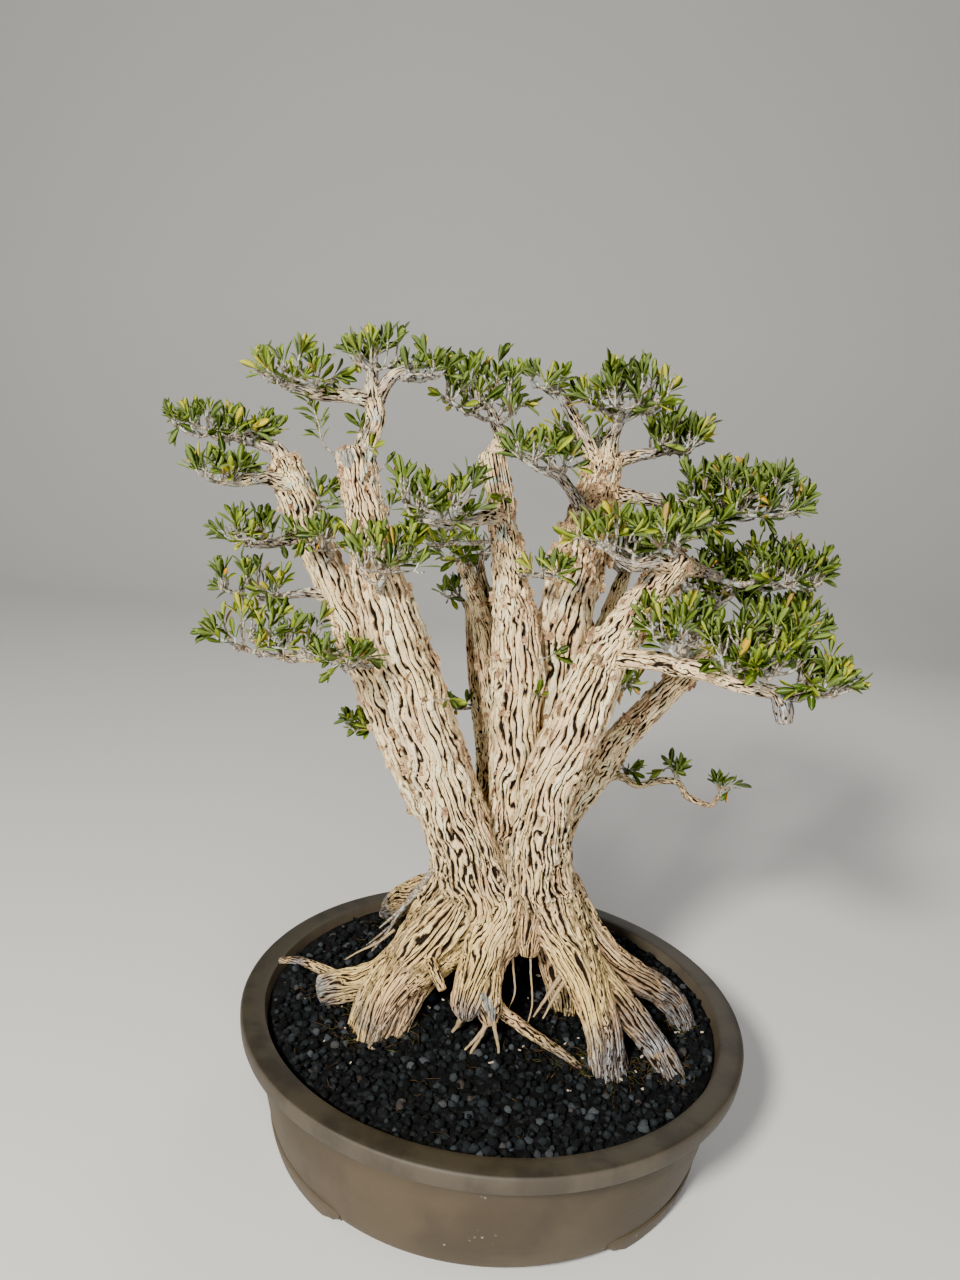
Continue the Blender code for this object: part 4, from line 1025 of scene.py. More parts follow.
def lift_flakes(wood):
    draw = random.Random(12)
    points = np.array([vertex.co for vertex in wood.data.vertices])
    corners = np.array([polygon.vertices[:3] for polygon in wood.data.polygons])
    first, second, third = points[corners[:, 0]], points[corners[:, 1]], points[corners[:, 2]]
    facing = np.cross(second - first, third - first)
    areas = np.linalg.norm(facing, axis=1)
    middles = points[corners].mean(axis=1)
    heights = middles[:, 2]
    areas *= np.clip((heights - FLAKE_LOWEST) / FLAKE_FADE, 0, 1) * (heights < FLAKE_HIGHEST)
    shaggy = np.linalg.norm(middles - to_frame([SHAGGY_PLACE]), axis=1) / (SHAGGY_REACH * MM)
    areas *= 1 + 4 * np.clip(1.5 - shaggy, 0, 1)
    reached = np.cumsum(areas)
    batch = Batch()
    for index in range(FLAKE_COUNT):
        chosen = int(np.searchsorted(reached, draw.random() * reached[-1]))
        spot = (middles[chosen] - np.array(POT_AXIS)) / MM
        loose = 1 + 1.2 * float(np.clip(1.5 - shaggy[chosen], 0, 1))
        batch.add(flake_plate(spot, unit(facing[chosen]), loose, draw), prism_faces(2, len(FLAKE_RIM)))
    flakes = batch.piece("loose_bark_flakes", [flake_finish()], (), "pale_bark", smooth=False)
    print("flakes:", FLAKE_COUNT, "with", triangles(flakes), "triangles")


lift_flakes(trunk)

# %% [markdown]
# ## A boxwood leaf
# The leaf is small and leathery, narrow at its foot, widest past the middle and blunt at the
# tip. It folds a little along the midrib and bends back at the end. It is built as a thin
# closed blade: an upper and a lower skin that share one outline.

# %% One blade, upper and lower skin
STATIONS = ((0.00, 0.05), (0.16, 0.16), (0.40, 0.62), (0.66, 1.00), (0.88, 0.78), (1.00, 0.16))
FOLD = 0.20
ARCH = 0.10
BLADE_THICKNESS = 0.030


def leaf_template():
    """Points and faces of a leaf of length 1 and half width 1, with its underside marked."""
    points, uppers, lowers, place = [], [], [], []
    for along, wide in STATIONS:
        drop = -ARCH * along * along
        points.append((along, -wide, FOLD * wide * 0.3 + drop))
        points.append((along, wide, FOLD * wide * 0.3 + drop))
        place += [(along, -wide, 0), (along, wide, 0)]
    ribs = len(points)
    for along, wide in STATIONS[1:-1]:
        drop = -ARCH * along * along
        points.append((along, 0.0, drop + BLADE_THICKNESS / 2))
        points.append((along, 0.0, drop - BLADE_THICKNESS / 2))
        place += [(along, 0, 0), (along, 0, 0)]
    last = len(STATIONS) - 1
    for index in range(last):
        left, right = 2 * index, 2 * index + 1
        next_left, next_right = left + 2, right + 2
        top, under = ribs + 2 * (index - 1), ribs + 2 * (index - 1) + 1
        next_top, next_under = top + 2, under + 2
        if index == 0:
            uppers += [(left, right, next_top), (left, next_top, next_left)]
            uppers += [(right, next_right, next_top)]
            lowers += [(right, left, next_under), (left, next_left, next_under)]
            lowers += [(right, next_under, next_right)]
        elif index == last - 1:
            uppers += [(left, top, next_left), (top, right, next_right), (top, next_right, next_left)]
            lowers += [(under, left, next_left), (right, under, next_right), (under, next_left, next_right)]
        else:
            uppers += [(left, top, next_top, next_left), (top, right, next_right, next_top)]
            lowers += [(under, left, next_left, next_under), (right, under, next_under, next_right)]
    return np.array(points), uppers, lowers, np.array(place)


LEAF_POINTS, LEAF_UPPER, LEAF_LOWER, LEAF_PLACE = leaf_template()
print("one leaf:", len(LEAF_UPPER) + len(LEAF_LOWER), "faces")

# %% [markdown]
# ## Leaf colours
# Most leaves are a deep green, those that catch the light get a painted highlight of
# yellow-green, and here and there one has turned orange or brown. One stored number for
# each leaf picks its place on that scale, and the midrib and the blade's edge are drawn from
# its own length and width.

# %% Leaf finishes
def leaf_finish(name, paler):
    leaf = Finish(name, 0.60 if paler else 0.38, 0.15 if paler else 0.28)
    place = leaf.split(leaf.stored("leaf_place", "Vector"))
    across = leaf.math("ABSOLUTE", place["Y"], 0.0)
    tint = leaf.ramp(leaf.stored("leaf_tint"), [
        (0.00, (0.010, 0.024, 0.003)), (0.30, (0.034, 0.066, 0.004)), (0.54, (0.105, 0.155, 0.008)),
        (0.78, (0.300, 0.350, 0.015)), (0.93, (0.520, 0.420, 0.025)), (0.965, (0.640, 0.260, 0.020)),
        (1.00, (0.300, 0.130, 0.050))])
    mottle = leaf.noise(leaf.place(), 420.0, 3.0)
    tint = leaf.mix(leaf.both(mottle, 0.22), tint, (0.12, 0.16, 0.02))
    tint = leaf.mix(leaf.both(leaf.mask(across, 0.14, 0.02), 0.35), tint, (0.40, 0.50, 0.10))
    foot = leaf.both(leaf.mask(place["X"], 0.25, 0.0), 0.5)
    tint = leaf.mix(foot, tint, (0.36, 0.44, 0.10))
    if paler:
        tint = leaf.mix(0.30, tint, (0.30, 0.40, 0.12))
    leaf.colour(tint)
    leaf.bump(leaf.noise(leaf.place(), 900.0, 2.0), 0.0003, 0.35)
    return leaf.material


def twig_finish():
    twig = Finish("grey_lichened_twig", 0.85, 0.25)
    place = twig.place()
    fine = twig.noise(place, 520.0, 4.0)
    colour = twig.mix(twig.mask(fine, 0.40, 0.58), (0.12, 0.090, 0.065), (0.46, 0.41, 0.33))
    colour = twig.mix(twig.mask(twig.noise(place, 95.0, 3.0), 0.54, 0.64), colour, (0.44, 0.48, 0.44))
    colour = twig.mix(twig.mask(twig.noise(place, 60.0, 2.0), 0.60, 0.72), colour, (0.30, 0.20, 0.12))
    twig.colour(colour)
    twig.bump(fine, 0.0006, 0.8)
    return twig.material


LEAF_FINISHES = [leaf_finish("boxwood_leaf_upper", False), leaf_finish("boxwood_leaf_under", True)]
TWIG_FINISH = twig_finish()

# %% [markdown]
# ## How a pad grows
# A real twig system is a compromise: each shoot wants the shortest way back to the limb,
# but new wood is only made where no older twig is near. The same rule draws it here. Shoot
# places are spread evenly over the pad's plan, each starts from the part of the net that
# costs it the least new wood, and it bends on its way up. A twig's thickness follows from
# how many shoots it feeds, so the main twig comes out thick and the tips thin.

# %% Grow one pad's net of twigs
TIP_RADIUS = 0.74
THICKENING = 0.42
TRAVEL_COST, CLIMB_COST = 0.35, 1.6
LEAF_REACH = 14.0
SHOOT_SHARE, DENSE_SHARE, DENSE_FROM_X = 0.60, 0.82, 80
PAD_RIM = 0.88
MAIN_TWIG_STEP = 6.5
LONGEST_STEM = 9.0
SECOND_SHOOT_CHANCE = 0.55
TWIG_MARGIN, LEAF_MARGIN = 6, 2.2
BOX_LOW = (np.array(cad_low) - np.array(POT_AXIS)) / MM
BOX_HIGH = (np.array(cad_high) - np.array(POT_AXIS)) / MM


class TwigNet:
    def __init__(self, root):
        self.points = [np.array(root, float)]
        self.parents = [None]
        self.travel = [0.0]

    def add(self, point, parent):
        self.points.append(np.clip(point, BOX_LOW + TWIG_MARGIN, BOX_HIGH - TWIG_MARGIN))
        self.parents.append(parent)
        step = float(np.linalg.norm(self.points[-1] - self.points[parent]))
        self.travel.append(self.travel[parent] + step)
        return len(self.points) - 1

    def cheapest(self, target):
        """The node to grow from: near, early on the twig, and not above the target."""
        spots = np.array(self.points)
        costs = np.linalg.norm(target - spots, axis=1) + TRAVEL_COST * np.array(self.travel)
        costs += CLIMB_COST * np.maximum(0.0, spots[:, 2] - target[2] + 2.0)
        return int(np.argmin(costs))

    def runs(self, tips):
        """Lines of twig from each fork to its furthest tip, with a radius at each point."""
        load = [0] * len(self.points)
        for index in tips:
            while index is not None:
                load[index] += 1
                index = self.parents[index]
        children = [[] for node in self.points]
        for index, parent in enumerate(self.parents):
            if parent is not None:
                children[parent].append(index)
        lines, waiting = [], [(None, 0)]
        while waiting:
            origin, index = waiting.pop()
            line = [] if origin is None else [(origin, load[index])]
            while index is not None:
                line.append((index, max(1, load[index])))
                following = sorted(children[index], key=lambda child: -load[child])
                waiting += [(index, child) for child in following[1:]]
                index = following[0] if following else None
            lines.append([(*self.points[i], TIP_RADIUS * max(1, count) ** THICKENING) for i, count in line])
        return lines


def spread_points(count, half_x, half_y, draw, tries=12):
    """Places spread evenly over an ellipse: each is the best of a few tries."""
    chosen = []
    for index in range(count):
        best, best_gap = None, -1.0
        for attempt in range(tries):
            angle, share = draw.uniform(0, 2 * math.pi), math.sqrt(draw.random())
            spot = (half_x * share * math.cos(angle), half_y * share * math.sin(angle))
            gap = min((math.dist(spot, other) for other in chosen), default=1e9)
            if gap > best_gap:
                best, best_gap = spot, gap
        chosen.append(best)
    return chosen


def jitter(draw, amount):
    return np.array([draw.uniform(-amount, amount) for axis in range(3)])


def grow_pad(line, centre, half, count, draw):
    """The twigs of a pad, bare ones too, and its leafy shoots as (foot, tip, pairs of leaves)."""
    net = TwigNet(line[0])
    parent = 0
    for row in smooth_route([(*point, 1) for point in line], MAIN_TWIG_STEP)[1:]:
        parent = net.add(row[:3] + jitter(draw, 1.1), parent)
    tips, shoots = [parent], [(net.points[parent - 1], net.points[parent], 3)]
    share = DENSE_SHARE if centre[0] > DENSE_FROM_X else SHOOT_SHARE
    spots = spread_points(max(3, round(count * share)), half[0] * PAD_RIM, half[1] * PAD_RIM, draw)
    spots.sort(key=lambda spot: math.dist((centre[0] + spot[0], centre[1] + spot[1]), line[0][:2]))
    for x, y in spots:
        ratio = math.hypot(x / half[0], y / half[1])
        full = centre[2] + half[2] * (1.0 - 0.38 * ratio ** 2) - LEAF_REACH
        floor = centre[2] - half[2] * (0.80 - 0.50 * ratio ** 2)
        sunk = draw.uniform(0.15, 0.95) * (full - floor) if draw.random() < half[2] / 45 else 0.0
        top = max(full + draw.uniform(-8.0, 4.0) - sunk, floor + 3)
        fork = np.array((centre[0] + x * 0.90, centre[1] + y * 0.90, max(floor, top - draw.uniform(10, 18))))
        fork += jitter(draw, 2.0)
        parent = net.cheapest(fork)
        start = net.points[parent]
        if np.linalg.norm(fork - start) > LONGEST_STEM:
            parent = net.add((start + fork) / 2 + jitter(draw, 2.0) - (0, 0, 1.5), parent)
        fork_index = net.add(fork, parent)
        tip = np.array((centre[0] + x, centre[1] + y, top))
        ends = [(tip, draw.choice((2, 3)))]
        if draw.random() < SECOND_SHOOT_CHANCE:
            away = draw.uniform(0, 2 * math.pi)
            reach = draw.uniform(5.0, 8.5)
            ends.append((tip + (reach * math.cos(away), reach * math.sin(away), draw.uniform(-6, -1)), 2))
        for end, pairs in ends:
            knee = net.add((fork + end) / 2 + jitter(draw, 1.3), fork_index)
            tips.append(net.add(end, knee))
            shoots.append((net.points[knee], net.points[-1], pairs))
        for bare in range(draw.choice((0, 1, 1, 2))):
            stub = tip + jitter(draw, 7.0) - (0, 0, draw.uniform(0, 5))
            knee = net.add((fork + stub) / 2 + jitter(draw, 1.6), fork_index)
            tips.append(net.add(stub, knee))
    return net.runs(tips), shoots


# %% [markdown]
# ## Leaves on a shoot
# Boxwood leaves stand in pairs, each pair turned a quarter round from the last, and the
# youngest close up round the tip. The upper side always faces the shoot. A leaf whose
# tip would leave the plant's outer size is shortened until it fits.

# %% Set the leaves of one shoot
LEAF_LENGTH, LEAF_HALF_WIDTH = 18.5, 0.150
SHORTEST_LEAF = 4
PAIR_STEP = 3.6
GREENEST_TURNED, TURNED_CHANCE = 0.93, 0.035


def leaf_rows(foot, tip, pairs, draw, yellow, spread=15):
    """(root, direction, upper side, length, tint) of each leaf on a shoot."""
    axis = unit(tip - foot)
    lean = unit(axis + jitter(draw, 0.35))
    across = unit(np.cross(lean, (0.3, 0.9, 0.1)))
    beside = np.cross(lean, across)
    turn = draw.uniform(0, math.pi)
    rows = []
    for pair in range(pairs):
        root = tip - axis * min(PAIR_STEP * pair, np.linalg.norm(tip - foot) * 0.95)
        opening = math.radians(spread + 12 * pair + draw.uniform(-6, 9))
        for side in (0, math.pi):
            angle = turn + pair * math.pi / 2 + side + draw.uniform(-0.3, 0.3)
            outward = across * math.cos(angle) + beside * math.sin(angle)
            direction = unit(lean * math.cos(opening) + outward * math.sin(opening))
            upper = unit(lean - direction * (lean @ direction) + outward * -0.05)
            length = LEAF_LENGTH * draw.uniform(0.72, 1.18) * (0.82 if pair == 0 else 1.0)
            # Pairs further from the tip are darker: partly the paler green of the young tip leaves, partly
            # painted shade inside the pad.
            tint = min(0.92, max(0.0, draw.gauss(0.50 + yellow - 0.15 * pair, 0.20)))
            if draw.random() < TURNED_CHANCE:
                tint = draw.uniform(GREENEST_TURNED, 1.0)
            rows.append((root, direction, upper, length, tint))
    return rows


def fits_inside(root, direction, length):
    tip = root + direction * length
    return bool(np.all(tip > BOX_LOW + LEAF_MARGIN) and np.all(tip < BOX_HIGH - LEAF_MARGIN))


def leaves_mesh(name, rows, replaced):
    """Copy the leaf to every row in one mesh, with the upper and the lower skin apart."""
    batch = Batch()
    for root, direction, upper, length, tint in rows:
        while length > SHORTEST_LEAF and not fits_inside(root, direction, length):
            length *= 0.85
        side = np.cross(upper, direction)
        basis = np.array((direction * length, side * length * LEAF_HALF_WIDTH, upper * length))
        batch.add(LEAF_POINTS @ basis + root, LEAF_UPPER + LEAF_LOWER)
    piece = batch.piece(name, LEAF_FINISHES, replaced, "boxwood_leaf")
    undersides = ([0] * len(LEAF_UPPER) + [1] * len(LEAF_LOWER)) * len(rows)
    piece.data.polygons.foreach_set("material_index", undersides)
    tints = [tint for root, direction, upper, length, tint in rows]
    store(piece.data, "leaf_tint", "FLOAT", np.repeat(tints, len(LEAF_POINTS)))
    store(piece.data, "leaf_place", "FLOAT_VECTOR", np.tile(LEAF_PLACE, (len(rows), 1)))


# %% [markdown]
# ## Twigs as tubes
# Twigs are too thin for bark relief, so each run is a plain tapering tube with a few knots
# in its radius. Five sides are enough at one or two millimetres. Every run of one pad goes
# into one mesh.

# %% Sweep the twigs of one pad
KNOTTY = 0.26
TWIG_STEP = 4.5
THICK_TWIG, MIDDLING_TWIG = 1.3, 0.8


def tube(rows, sides, draw):
    """Points and faces of one thin tube with uneven rings."""
    centres, radii = rows[:, :3], rows[:, 3]
    normals, sidewards = carried_frames(centres)[1:]
    points = []
    for centre, radius, normal, sideward in zip(centres, radii, normals, sidewards):
        for c, s in circle(sides):
            reach = radius * (1 + draw.uniform(-KNOTTY, KNOTTY))
            points.append(centre + (normal * c + sideward * s) * reach)
    return np.vstack([points, centres[0], centres[-1]]), ring_faces(len(rows), sides)


def twigs_mesh(name, runs, draw, material, step=TWIG_STEP):
    batch = Batch()
    for run in runs:
        if len(run) > 1:
            rows = smooth_route(run, step)
            sides = 6 if rows[0][3] > THICK_TWIG else 5 if rows[0][3] > MIDDLING_TWIG else 4
            batch.add(*tube(rows, sides, draw))
    batch.piece(name, [material], (), "pale_bark")


# %% [markdown]
# ## Every pad in its place
# A pad's main twig starts just under the nearest bark, so that it grows out of wood. The
# pads on the shaded right get a painted shade of darker green, and a few in full light get a
# painted highlight of yellower green.

# %% Grow every pad
woods = [BVHTree.FromObject(wood, bpy.context.evaluated_depsgraph_get()) for wood in (trunk, limbs)]
SUNK_ROOT = 1.5
BARE_SHOOT_CHANCE = 0.04
# Painted light on whole pads: below zero a painted shade, above zero a painted highlight.
PAD_PAINTED_LIGHT_AND_SHADE = {
    "spray_front_top": 0.18, "spray_left_hook": 0.08, "spray_left_low": 0.06, "spray_long_branch_tip": 0.10,
    "spray_far_left": -0.10, "spray_right_top": -0.10, "spray_right_upper": -0.13,
    "spray_right_middle": -0.15, "spray_right_low": -0.13, "filler_right_inner": -0.18,
    "filler_right_upper_inner": -0.14, "filler_behind_long_branch": -0.18, "spray_hidden_back": -0.15,
}


def root_in_wood(anchor):
    """The nearest place on the bark, moved just under it, so that a twig grows out of wood."""
    hits = [wood.find_nearest(Vector(to_frame([anchor])[0])) for wood in woods]
    spot, normal = min(hits, key=lambda hit: hit[3])[:2]
    return (np.array(spot) - np.array(POT_AXIS)) / MM - np.array(normal) * SUNK_ROOT


def dress_pad(name, pad):
    line, centre, half, count = pad
    draw = random.Random(name)
    line = [tuple(root_in_wood(line[0])), *line]
    runs, shoots = grow_pad(line, centre, half, count, draw)
    rows = []
    pad_tone_and_painted_light = draw.uniform(-0.05, 0.05) + PAD_PAINTED_LIGHT_AND_SHADE.get(name, 0.0)
    for foot, tip, pairs in shoots:
        if draw.random() > BARE_SHOOT_CHANCE:
            rows += leaf_rows(foot, tip, pairs, draw, pad_tone_and_painted_light + draw.uniform(-0.26, 0.30))
    leaves_mesh(name + "_leaves", rows, (name,) if name in PADS else ())
    twigs_mesh(name + "_twigs", runs, draw, TWIG_FINISH)
    return len(rows)


leaf_count = sum(dress_pad(name, pad) for name, pad in {**PADS, **FILLERS}.items())
print("leaves on the pads:", leaf_count)

# %% [markdown]
# ## Sprouts on bare wood
# Old boxwood throws a few leaves straight from its bark, and one upright sprig has grown
# from the cut on the left leader. They are the same leaves on a very short shoot. The
# small sprouts are extra: they have no solid of their own.

# %% Sprouts and the upright sprig
SPROUTS = {
    "sprout_on_front_left": ((-62, -56, 402), (-57, -66, 407), 2, 0.20),
    "sprout_on_middle": ((10, -13, 400), (14, -29, 406), 2, 0.10),
    "sprout_above_middle": ((18, -10, 432), (22, -30, 440), 3, -0.10),
    "sprout_on_front_right": ((72, -76, 470), (75, -86, 478), 2, 0.10),
}
SMALL_SPROUTS = {
    "sprout_by_neck": ((-138, -40, 596), (-139, -50, 606), 3, -0.06),
    "sprout_under_neck": ((-132, -40, 590), (-130, -52, 590), 2, 0.10),
    "sprout_beside_cut": ((-126, -38, 572), (-120, -44, 578), 1, -0.15),
    "sprout_between_left_tops": ((-176, 2, 536), (-172, -20, 548), 3, 0.02),
    "sprout_between_left_tops_low": ((-146, -38, 540), (-156, -30, 546), 3, -0.15),
    "sprout_right_of_front_left": ((-124, -44, 530), (-112, -50, 552), 3, 0.16),
    "sprout_right_of_front_left_top": ((-112, -50, 552), (-110, -52, 566), 2, 0.22),
    "sprout_on_middle_top": ((-26, -4, 556), (-30, -18, 560), 2, 0.05),
    "sprout_on_rough_side": ((56, 10, 540), (66, -8, 548), 3, 0.15),
}
SPRIG = ((-160, -40, 580), (-168, -40, 589), (-171, -40, 596), (-172, -40, 603), (-174, -41, 608),
         (-176, -41, 613), (-178, -41, 618), (-180, -41, 623))


def dress_sprout(name, sprout):
    anchor, tip, pairs, yellow = sprout
    draw = random.Random(name)
    root = root_in_wood(anchor)
    tip = np.array(tip, float)
    rows = leaf_rows(root, tip, pairs, draw, yellow)
    leaves_mesh(name + "_leaves", rows, (name,) if name in SPROUTS else ())
    twigs_mesh(name + "_twig", [[(*root, 0.8), (*tip, 0.6)]], draw, TWIG_FINISH)
    return len(rows)


def dress_sprig():
    draw = random.Random("sprig")
    root = root_in_wood(SPRIG[0])
    line = [root, *[np.array(point, float) for point in SPRIG[1:]]]
    rows = []
    for foot, tip in zip(line[1:], line[2:]):
        rows += leaf_rows(foot, tip, 1, draw, -0.04, 38)
        rows += leaf_rows(foot, (foot + tip) / 2, 1, draw, -0.12, 48)
    leaves_mesh("sprig_on_cut_leaves", rows, ("sprig_on_cut",))
    twigs_mesh("sprig_on_cut_twig", [[(*point, 0.8) for point in line]], draw, TWIG_FINISH)
    return len(rows)


sprouts = {**SPROUTS, **SMALL_SPROUTS}
sprout_leaves = sum(dress_sprout(name, sprout) for name, sprout in sprouts.items()) + dress_sprig()
print("leaves on sprouts:", sprout_leaves)

# %% [markdown]
# ## The pot
# It is thrown on a wheel, so its section is turned about one axis: a flat lip, a slanted
# lip side, a soft shadow line under it, and a body that draws in towards the foot. A
# turned section with many steps is smooth enough for close views, and a trace of unevenness
# keeps it from looking machined.

# %% Turn the pot's section
POT_STEPS = 180
UNEVEN = 0.5
POT_SECTION = (
    (0.0, 19.0), (60.0, 19.0), (120.0, 19.0), (162.0, 19.0), (171.0, 20.5), (176.0, 26.0), (180.0, 40.0),
    (185.5, 58.0), (189.0, 80.0), (190.8, 92.0), (194.5, 100.0), (198.2, 110.0), (198.9, 113.5),
    (199.6, 115.2), (201.0, 115.9), (206.0, 116.0), (213.0, 115.9), (217.6, 115.5), (219.2, 114.6),
    (219.9, 113.0), (219.8, 108.0), (219.2, 103.0), (218.4, 100.9), (216.6, 99.8), (212.0, 99.2),
    (206.0, 98.2), (203.6, 96.8), (202.6, 94.0), (202.0, 88.0), (201.2, 78.0), (200.0, 67.0),
    (198.2, 55.0), (196.0, 43.0), (193.4, 31.0), (191.0, 22.5), (189.6, 18.2), (188.6, 15.0),
    (187.2, 11.6), (184.6, 9.4), (180.0, 8.0), (150.0, 8.0), (100.0, 8.0), (50.0, 8.0), (0.0, 8.0))


def turned(section):
    """Points and faces of a section turned about the vertical axis, from one pole to the other."""
    points = []
    for radius, height in section[1:-1]:
        for c, s in circle(POT_STEPS):
            uneven = UNEVEN * noise.noise(Vector((c * 2.2, s * 2.2, height / 22)))
            reach = radius + (uneven if radius > 150 else 0.0)
            points.append((reach * c, reach * s, height + 0.4 * uneven * (height > 100)))
    points += [(0, 0, section[0][1]), (0, 0, section[-1][1])]
    return points, ring_faces(len(section) - 2, POT_STEPS)


# %% [markdown]
# ## Cloud feet and drain holes
# Three wide low feet are laid on under the body. Each is a band that stands a little proud,
# with a soft shoulder on top, and its ends step up from the ground in a cloud curve.
# Between them, in the floor, are the holes that let the water out.

# %% Feet, drain holes and the fired pot
FOOT_CENTRES = (-32, 88, -152)
FOOT_HALF_ARC = 27
FOOT_STEPS = 44


def foot_section(share):
    """The foot's section at a share of its half length: 0 in the middle, 1 at the end."""
    step_up = 3.2 * smoothstep(0.80, 0.84, share) + 4.0 * smoothstep(0.90, 0.95, share)
    proud = 1.0 - 0.85 * smoothstep(0.88, 1.0, share)
    top = 19.5 - 3.5 * smoothstep(0.93, 1.0, share)
    return (
        (186.0, top), (189.4 + 1.1 * proud, top - 0.6), (189.6 + 1.8 * proud, top - 2.4),
        (188.6 + 1.6 * proud, max(step_up + 5.2, top - 8.0)), (186.2 + proud, step_up + 2.0),
        (183.0, step_up), (150.0, step_up), (148.0, 12.0), (170.0, 14.0))


def foot(centre):
    points = []
    for index in range(FOOT_STEPS + 1):
        across = 2 * index / FOOT_STEPS - 1
        angle = math.radians(centre + FOOT_HALF_ARC * across)
        points += [(r * math.cos(angle), r * math.sin(angle), z) for r, z in foot_section(abs(across))]
    return points, prism_faces(FOOT_STEPS + 1, len(foot_section(0)))


DRAIN_RADIUS, DRAIN_CIRCLE, DRAIN_STEPS = 16.0, 85.0, 48
DRILL_HEIGHTS = (-5.0, 30.0)
DRAIN_SPOTS = [(DRAIN_CIRCLE * math.cos(math.radians(angle)), DRAIN_CIRCLE * math.sin(math.radians(angle)))
               for angle in (28, 148, 268)]


def drill(x, y):
    points = [(x + DRAIN_RADIUS * c, y + DRAIN_RADIUS * s, z)
              for z in DRILL_HEIGHTS for c, s in circle(DRAIN_STEPS)]
    return points, prism_faces(2, DRAIN_STEPS)


def facing_out(mesh):
    """Turn all of a closed mesh's faces outward, as a Boolean needs them."""
    work = bmesh.new()
    work.from_mesh(mesh)
    bmesh.ops.recalc_face_normals(work, faces=work.faces)
    work.to_mesh(mesh)
    work.free()
    return mesh


def change_pot(pot, operation, shapes):
    tools = [facing_out(framed_mesh("helper", points, faces)) for points, faces in shapes]
    pot.data = combined(pot, operation, "EXACT", tools)


# %% [markdown]
# ## Unglazed stoneware
# The clay is a dull ochre brown, mottled by the kiln and by years of watering. The flat
# top is darker and olive, the slanted lip is paler and greyer, a painted shadow darkens the
# body just under the lip, and a few white flecks of lime have dried on it. Height and slope
# tell the material where it is on the pot, so the bands follow the section.

# %% Stoneware finish
def stoneware_finish():
    clay = Finish("unglazed_stoneware", 0.58, 0.35)
    place = clay.place()
    height = clay.along_axis("Z")
    cloud = clay.noise(place, 9.0, 4.0, 0.6)
    stain = clay.noise(clay.scaled(place, (1.0, 1.0, 0.45)), 26.0, 4.0, 0.6)
    body = clay.mix(clay.mask(cloud, 0.38, 0.62), (0.084, 0.063, 0.037), (0.060, 0.044, 0.026))
    body = clay.mix(clay.both(clay.mask(stain, 0.52, 0.70), 0.5), body, (0.046, 0.034, 0.022))
    # Painted shadow: the body darkens upward to just under the overhanging lip.
    body = clay.mix(clay.both(clay.mask(height, 0.070, 0.097), 0.55), body, (0.034, 0.026, 0.018))
    body = clay.mix(clay.both(clay.mask(height, 0.030, 0.004), 0.35), body, (0.12, 0.09, 0.06))
    lip = clay.mix(clay.mask(stain, 0.40, 0.65), (0.080, 0.065, 0.047), (0.057, 0.046, 0.033))
    body = clay.mix(clay.mask(height, 0.0985, 0.1005), body, lip)
    top = clay.mix(clay.mask(stain, 0.42, 0.66), (0.038, 0.031, 0.020), (0.020, 0.016, 0.011))
    normal = clay.split(clay.node("ShaderNodeNewGeometry").outputs["Normal"])
    level = clay.mask(normal["Z"], 0.6, 0.9)
    flat_top = clay.both(clay.mask(height, 0.1145, 0.1155), level)
    body = clay.mix(flat_top, body, top)
    fleck = clay.both(clay.mask(clay.cells(place, 120.0), 0.16, 0.08),
                      clay.mask(clay.noise(place, 16.0, 2.0), 0.62, 0.70))
    body = clay.mix(clay.both(fleck, 0.8), body, (0.62, 0.60, 0.54))
    clay.colour(body)
    grit = clay.bump(clay.noise(place, 700.0, 3.0), 0.0004, 0.5)
    clay.bump(clay.noise(clay.scaled(place, (1.0, 1.0, 9.0)), 20.0, 2.0), 0.0010, 0.25, grit)
    return clay.material


SHARP_ANGLE = math.radians(38)


def make_pot():
    points, faces = turned(POT_SECTION)
    pot = add_piece("pot_stoneware", points, faces, [stoneware_finish()], ("pot",))
    facing_out(pot.data)
    change_pot(pot, "UNION", [foot(centre) for centre in FOOT_CENTRES])
    change_pot(pot, "DIFFERENCE", [drill(x, y) for x, y in DRAIN_SPOTS])
    pot.data.shade_smooth()
    pot.data.set_sharp_from_angle(angle=SHARP_ANGLE)
    print("pot:", triangles(pot), "triangles")


make_pot()

# %% [markdown]
# ## Drain nets
# A square of plastic net lies over each hole and keeps the grit in. Only a look from below
# shows it. It is made of flat bars laid crosswise, as moulded net is.

# %% Drain nets
NET_HALF, NET_BARS, NET_BAR = 24.0, 9, 1.6
NET_LAYERS = ((False, 19.3, 20.2), (True, 20.0, 20.8))
CORNERS = ((-1, -1), (1, -1), (1, 1), (-1, 1))


def net_finish():
    net = Finish("black_net", 0.5, 0.4)
    net.colour(net.mix(net.noise(net.place(), 300.0), (0.012, 0.012, 0.012), (0.035, 0.033, 0.030)))
    return net.material


def make_net(name, x, y, material):
    batch = Batch()
    for index in range(NET_BARS):
        offset = -NET_HALF + NET_BAR / 2 + (2 * NET_HALF - NET_BAR) * index / (NET_BARS - 1)
        for across, low, high in NET_LAYERS:
            wide, deep = (NET_BAR / 2, NET_HALF) if across else (NET_HALF, NET_BAR / 2)
            middle_x, middle_y = (x + offset, y) if across else (x, y + offset)
            bar = [(middle_x + sx * wide, middle_y + sy * deep, z) for z in (low, high) for sx, sy in CORNERS]
            batch.add(bar, prism_faces(2, len(CORNERS)))
    batch.piece(name + "_net", [material], (name,), "black_net", smooth=False)


net_material = net_finish()
for index, (x, y) in enumerate(DRAIN_SPOTS, 1):
    make_net(f"drain_screen_{index}", x, y, net_material)
print("nets:", len(DRAIN_SPOTS), "with", 2 * NET_BARS, "bars each")

# %% [markdown]
# ## The bed of lava grit
# The pot is filled to just under its rim with black lava, five to ten millimetres across.
# A dark bed carries the mound under the tree and reaches down to the floor of the pot. It is
# only seen between the grains, so a round mesh with a few lumps is enough.

